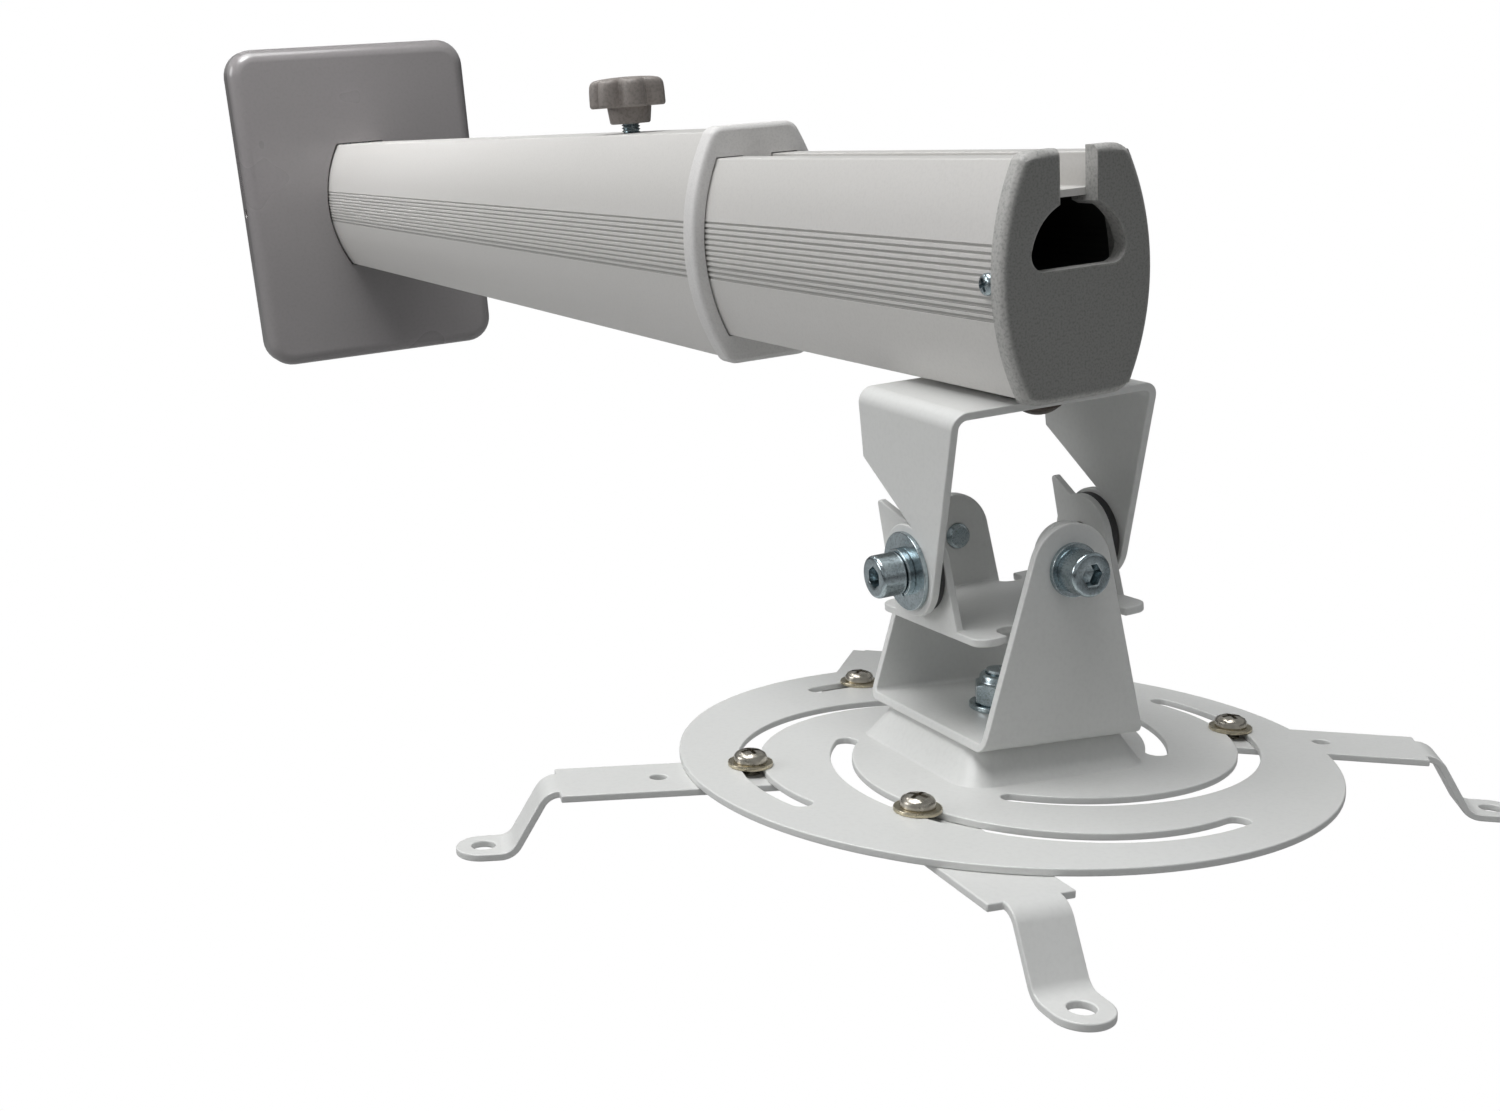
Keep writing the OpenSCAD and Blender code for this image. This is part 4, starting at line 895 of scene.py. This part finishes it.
def cap_bolt(shank):
    """A socket head that stands on Z = 0, with a threaded shank below it."""
    corner = SOCKET_AF / math.sqrt(3)
    r = HEAD_D / 2
    profile = [
        (0, 0), (r - 0.35, 0), (r - 0.12, 0.12), (r, 0.4), (r, 0.9), (r, 6.5), (r, 6.9),
        (r - 0.08, 7.2), (r - 0.35, 7.7), (r - 0.75, 7.95), (r - 1.1, HEAD_H),
        (corner + 0.45, HEAD_H), (corner + 0.1, HEAD_H - 0.3), (corner, HEAD_H - 0.6),
        (corner, 3.8), (corner * 0.55, 3.2), (0, 2.7)]
    bm = lathe(profile, 2 * KNURLS)
    press_in(bm, knurl, KNURL_FROM, KNURL_TO, inner=r - 0.1)
    press_in(bm, hexagon(SOCKET_AF), 3.0, HEAD_H - 0.2, outer=corner + 0.2)
    rod = thread(BOLT_D, BOLT_PITCH, -shank, ROOTED)
    lead_in(rod, -shank, LEAD_IN, BOLT_D / 2)
    return join(bm, rod)


SHEET_T, SPACER_T, SEAT_GAP, BOLT_END, POINT = 2.5, 2.4, 0.3, 1.2, 0.64
# Each bolt: where it is, what lies under its head and what lies between its two sheets.
HINGES = {
    "tilt_bolt_left": (LEFT_SIDE, WASHER_T + SPRING_T, SPACER_T),
    "roll_bolt_front": (FRONT_SIDE, WASHER_T, SEAT_GAP),
    "roll_bolt_back": (BACK_SIDE, WASHER_T, SEAT_GAP),
}
for node, (side, under_head, between) in HINGES.items():
    shank = under_head + 2 * SHEET_T + between + BOLT_END + POINT
    put(cap_bolt(shank), side @ shift(z=under_head), node + "_knurled", node)

# %% [markdown]
# ## Spring washer
# Under the left head sits a split spring washer. It is a square wire bent to one turn of
# a shallow helix, so a single face is spun almost all the way round and climbs a little
# as it goes. The two ends stay open and slightly apart.

# %% Split washer
SPLIT, SPLIT_AT, CLIMB, WIRE_STEPS = 5.0, 205.0, 0.25, 72
WIRE_IN, WIRE_OUT, WIRE_H, WIRE_ROUND = 4.3, 7.3, SPRING_T - CLIMB, 0.25
bm = bmesh.new()
section = ((WIRE_IN, 0.0), (WIRE_OUT, 0.0), (WIRE_OUT, WIRE_H), (WIRE_IN, WIRE_H))
start = bm.faces.new([bm.verts.new((r * MM, 0, z * MM)) for r, z in section])
bmesh.ops.spin(bm, geom=[start], cent=(0, 0, 0), axis=(0, 0, 1),
               dvec=(0, 0, CLIMB / WIRE_STEPS * MM), angle=math.radians(360 - SPLIT),
               steps=WIRE_STEPS)
bmesh.ops.remove_doubles(bm, verts=bm.verts, dist=WELD)
bmesh.ops.rotate(bm, verts=bm.verts, cent=(0, 0, 0),
                 matrix=Matrix.Rotation(math.radians(SPLIT_AT), 3, "Z"))
bmesh.ops.recalc_face_normals(bm, faces=bm.faces)
round_off(bm, sharp_edges(bm, 50), WIRE_ROUND)
put(bm, LEFT_SIDE @ shift(z=WASHER_T), "spring_washer_split", "spring_washer")

# %% [markdown]
# ## Lock nut of the disc
# A nylon-ring lock nut, 16 mm across flats, holds the disc from above. The hexagon has
# curved chamfers at both ends, and a round collar holds the ring. The bore stays a little
# wider than the bolt, whose end shows in the middle as the CAD model draws it.

# %% Lock nut
NUT_AF, NUT_H, DISC_BOLT_D, LOW_DROP = 16.0, 9.5, 10.0, 52.3
CHAMFER_STEPS, CHAMFER_SLOPE = 6, 0.55
bore = DISC_BOLT_D / 2 + 0.1
hex_corner, flat_r = NUT_AF / math.sqrt(3), NUT_AF / 2 - 0.3
hex_top = 0.72 * NUT_H
width = hex_corner - flat_r
rise = width * CHAMFER_SLOPE
shares = [k / CHAMFER_STEPS for k in range(CHAMFER_STEPS + 1)]
chamfer = [(flat_r + width * share, rise * share) for share in shares]
profile = [(bore, 0.6), (bore + 0.6, 0)] + chamfer
profile += [(r, hex_top - z) for r, z in reversed(chamfer)]
profile += [
    (NUT_AF * 0.455, hex_top + 0.1), (NUT_AF * 0.445, hex_top + 0.5),
    (NUT_AF * 0.435, NUT_H - 0.9), (NUT_AF * 0.41, NUT_H - 0.25), (NUT_AF * 0.38, NUT_H),
    (NUT_AF * 0.345, NUT_H - 0.15), (NUT_AF * 0.335, NUT_H - 0.7), (bore, NUT_H - 0.7),
    (bore, 0.6)]
bm = lathe(profile, 96)
press_in(bm, hexagon(NUT_AF), -0.1, hex_top + 0.01)
put(bm, AT_ROLL @ shift(z=SHEET_T - LOW_DROP + WASHER_T), "disc_lock_nut", "disc_nut")

# %% [markdown]
# ## The clamp knob
# The knob is a seven-lobed star grip of satin plastic. Its head is a flat dome with a
# rounded rim, the lobes are full rounds with soft valleys between them, and the hub under
# it narrows towards the tube. The head is a lathe of 24 columns a lobe. Each point is
# pressed in to the star outline by a share that fades towards the middle of the dome.

# %% Knob
KNOB_Y, KNOB_FOOT, HUB_H, KNOB_H, KNOB_R, LOBES = 515.0, 46.0, 7.0, 12.6, 17.0, 7
LOBE_R, VALLEY_R, SOFT = 4.9, 12.9, 0.55
LOBE_COLUMNS, FADE_FROM, FADE_OVER = 24, 7.5, 6.0


def star(angle):
    """The radius of the star at an angle. SOFT is how far a lobe and a valley blend."""
    off = (angle + math.pi / LOBES) % (2 * math.pi / LOBES) - math.pi / LOBES
    core = KNOB_R - LOBE_R
    across = LOBE_R ** 2 - (core * math.sin(off)) ** 2
    lobe = core * math.cos(off) + math.sqrt(across) if across > 0 else 0.0
    return SOFT * math.log(math.exp(lobe / SOFT) + math.exp(VALLEY_R / SOFT))


under = [(0.0, 0.6), (9.0, 0.6), (9.6, 0.0)]
side = [(15.9, 0.0), (16.5, 0.25), (16.9, 0.8), (KNOB_R, 1.5), (16.95, 4.0), (16.85, 7.0),
        (16.6, 9.2), (16.2, 10.3), (15.5, 11.1), (14.5, 11.6)]
dome = [(12.5, 12.0), (10.0, 12.25), (7.0, 12.45), (3.5, 12.57), (0.0, KNOB_H)]
bm = lathe(under + side + dome, LOBE_COLUMNS * LOBES)
for vert in bm.verts:
    radius = math.hypot(vert.co.x, vert.co.y) / MM
    if radius > FADE_FROM:
        share = min(1.0, (radius - FADE_FROM) / FADE_OVER)
        vert.co.xy *= 1 - share * (1 - star(math.atan2(vert.co.y, vert.co.x)) / KNOB_R)
bmesh.ops.translate(bm, verts=bm.verts, vec=(0, 0, HUB_H * MM))
hub_top = HUB_H + 0.65
hub = lathe([(4.2, 0.5), (4.6, 0.0), (8.2, 0.0), (8.75, 0.5), (9.0, 2.0), (9.45, 5.6),
             (9.7, hub_top), (4.2, hub_top), (4.2, 0.5)], 64)
put(join(bm, hub), shift(y=-KNOB_Y, z=KNOB_FOOT), "knob_star_grip", "clamp_knob")

# %% [markdown]
# The stud under the knob is threaded over its whole length and shows for 4 mm above the
# tube. Below, it ends in a smooth tip that turns in the nylon shoe.

# %% Stud
STUD_D, STUD_LOW, STUD_HIGH = 8.0, 28.0, 60.6
TIP_R, TIP_H, TIP_ROUND = 2.4, 3.0, 0.4
bm = thread(STUD_D, BOLT_PITCH, 0.0, STUD_HIGH - STUD_LOW)
lead_in(bm, 0.0, LEAD_IN, STUD_D / 2)
tip = lathe([(0.0, -TIP_H), (TIP_R - TIP_ROUND, -TIP_H), (TIP_R, TIP_ROUND - TIP_H),
             (TIP_R, 0.1), (0.0, 0.1)], 32)
put(join(bm, tip), shift(y=-KNOB_Y, z=STUD_LOW), "threaded_stud", "clamp_stud")

# %% [markdown]
# ## Cap screws
# Two small screws with a cross recess hold the end cap in the sides of the inner tube. A
# cross could be cut out with a boolean, but that leaves a tangle of thin faces. We turn a
# low dome, slice its faces along the outline of the cross, and sink the faces inside it.

# %% Cap screws
CAP_SCREW_Y, CAP_SCREW_X, CAP_HEAD_D, CAP_HEAD_H, CAP_RECESS = 806.0, 24.0, 6.2, 2.2, 1.0
CROSS_REACH, CROSS_DEPTH, CAP_CROSS_TURN = 0.62, 0.55, 20


def cross_head(diameter, height, recess):
    """A low dome with a cross recess whose arms are as wide as the recess says."""
    r = diameter / 2
    reach = CROSS_REACH * r
    dome = [(0.0, 0.0), (r - 0.15, 0.0), (r, 0.15), (r, 0.45 * height), (0.9 * r, 0.72 * height),
            (0.66 * r, 0.92 * height), (0.35 * r, 0.99 * height), (0.0, height)]
    bm = lathe(dome, 48)
    for axis in ((1, 0, 0), (0, 1, 0)):
        for off in (-recess / 2, -reach, recess / 2, reach):
            bmesh.ops.bisect_plane(bm, geom=everything(bm), dist=1e-8,
                                   plane_co=Vector(axis) * off * MM, plane_no=axis)
    sunk = []
    for face in bm.faces:
        x, y, z = (abs(c) / MM for c in face.calc_center_median())
        if z > 0.5 * height and min(x, y) < recess / 2 and max(x, y) < reach:
            sunk.append(face)
    made = bmesh.ops.extrude_face_region(bm, geom=sunk)
    bottom = [g for g in made["geom"] if isinstance(g, bmesh.types.BMVert)]
    bmesh.ops.delete(bm, geom=sunk, context="FACES")
    bmesh.ops.translate(bm, verts=bottom, vec=(0, 0, -CROSS_DEPTH * height * MM))
    bmesh.ops.recalc_face_normals(bm, faces=bm.faces)
    return bm


bm = cross_head(CAP_HEAD_D, CAP_HEAD_H, CAP_RECESS)
bmesh.ops.rotate(bm, verts=bm.verts, cent=(0, 0, 0),
                 matrix=Matrix.Rotation(math.radians(CAP_CROSS_TURN), 3, "Z"))
bmesh.ops.transform(bm, verts=bm.verts,
                    matrix=shift(x=CAP_SCREW_X, y=-CAP_SCREW_Y) @ turned(90, "Y"))
other = bm.copy()
bmesh.ops.rotate(other, verts=other.verts, cent=(0, -CAP_SCREW_Y * MM, 0),
                 matrix=Matrix.Rotation(math.pi, 3, "Z"))
made = piece(join(bm, other), "cap_screws_crossed", "cap_screws")
print(made.name, "faces", len(made.data.polygons))

# %% [markdown]
# ## Small screws and washers
# The other screws, the plain washers, the spacers and the friction washer have the right
# shape in the CAD model already. Their edges only need the small round that pressing and
# plating leave: wide on thick washers, thin on screw heads.

# %% Screws and washers
WAYS = ("front", "right", "back", "left")
ROUNDS = {0.3: ("tilt_washer", "roll_washers", "disc_washer", "swivel_washer", "tilt_spacers"),
          0.12: ("cover_screws", "collar_screws", "swivel_bolt", "tilt_bolt_right"),
          0.25: ["leg_washer_" + way for way in WAYS]}
for width, nodes in ROUNDS.items():
    for node in nodes:
        soften(node, width, 2, RIM_ANGLE)

# %% [markdown]
# ## Leg screws
# Each leg hangs on an M6 screw with a domed head and a deep cross recess. The place of a
# screw is read from its washer: the middle of the washer's box gives the point on the
# axis, and the disc's own tilt gives the direction.

# %% Leg screws
LEG_HEAD_D, LEG_HEAD_H, LEG_RECESS = 10.0, 3.4, 1.25
LEG_SCREW_D, LEG_PITCH, LEG_GRIP, HALF_WASHER = 6.0, 1.0, 7.4, 0.6
FIRST_TURN, NEXT_TURN = 0.5, 0.9
tilt = AT_ROLL.to_quaternion()
up = tilt @ Vector((0, 0, 1))
for number, way in enumerate(WAYS):
    low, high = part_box("leg_washer_" + way)
    bm = cross_head(LEG_HEAD_D, LEG_HEAD_H, LEG_RECESS)
    bmesh.ops.rotate(bm, verts=bm.verts, cent=(0, 0, 0),
                     matrix=Matrix.Rotation(FIRST_TURN + NEXT_TURN * number, 3, "Z"))
    bm = join(bm, thread(LEG_SCREW_D, LEG_PITCH, -LEG_GRIP, ROOTED))
    seat = Matrix.Translation((low + high) / 2 + up * HALF_WASHER * MM)
    place = seat @ tilt.to_matrix().to_4x4()
    made = put(bm, place, "leg_screw_%s_crossed" % way, "leg_screw_" + way)
    marks = made.data.attributes.new("rubbed_plating", "FLOAT", "FACE")
    marks.data.foreach_set("value", [1.0] * len(marks.data))

# %% [markdown]
# The dressed model may not be larger than the CAD model. We gather the box of the CAD
# model and of the dressed model in one table.

# %% Finish
size = {"cad": cad_box, "visual": [list(corner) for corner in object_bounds()]}
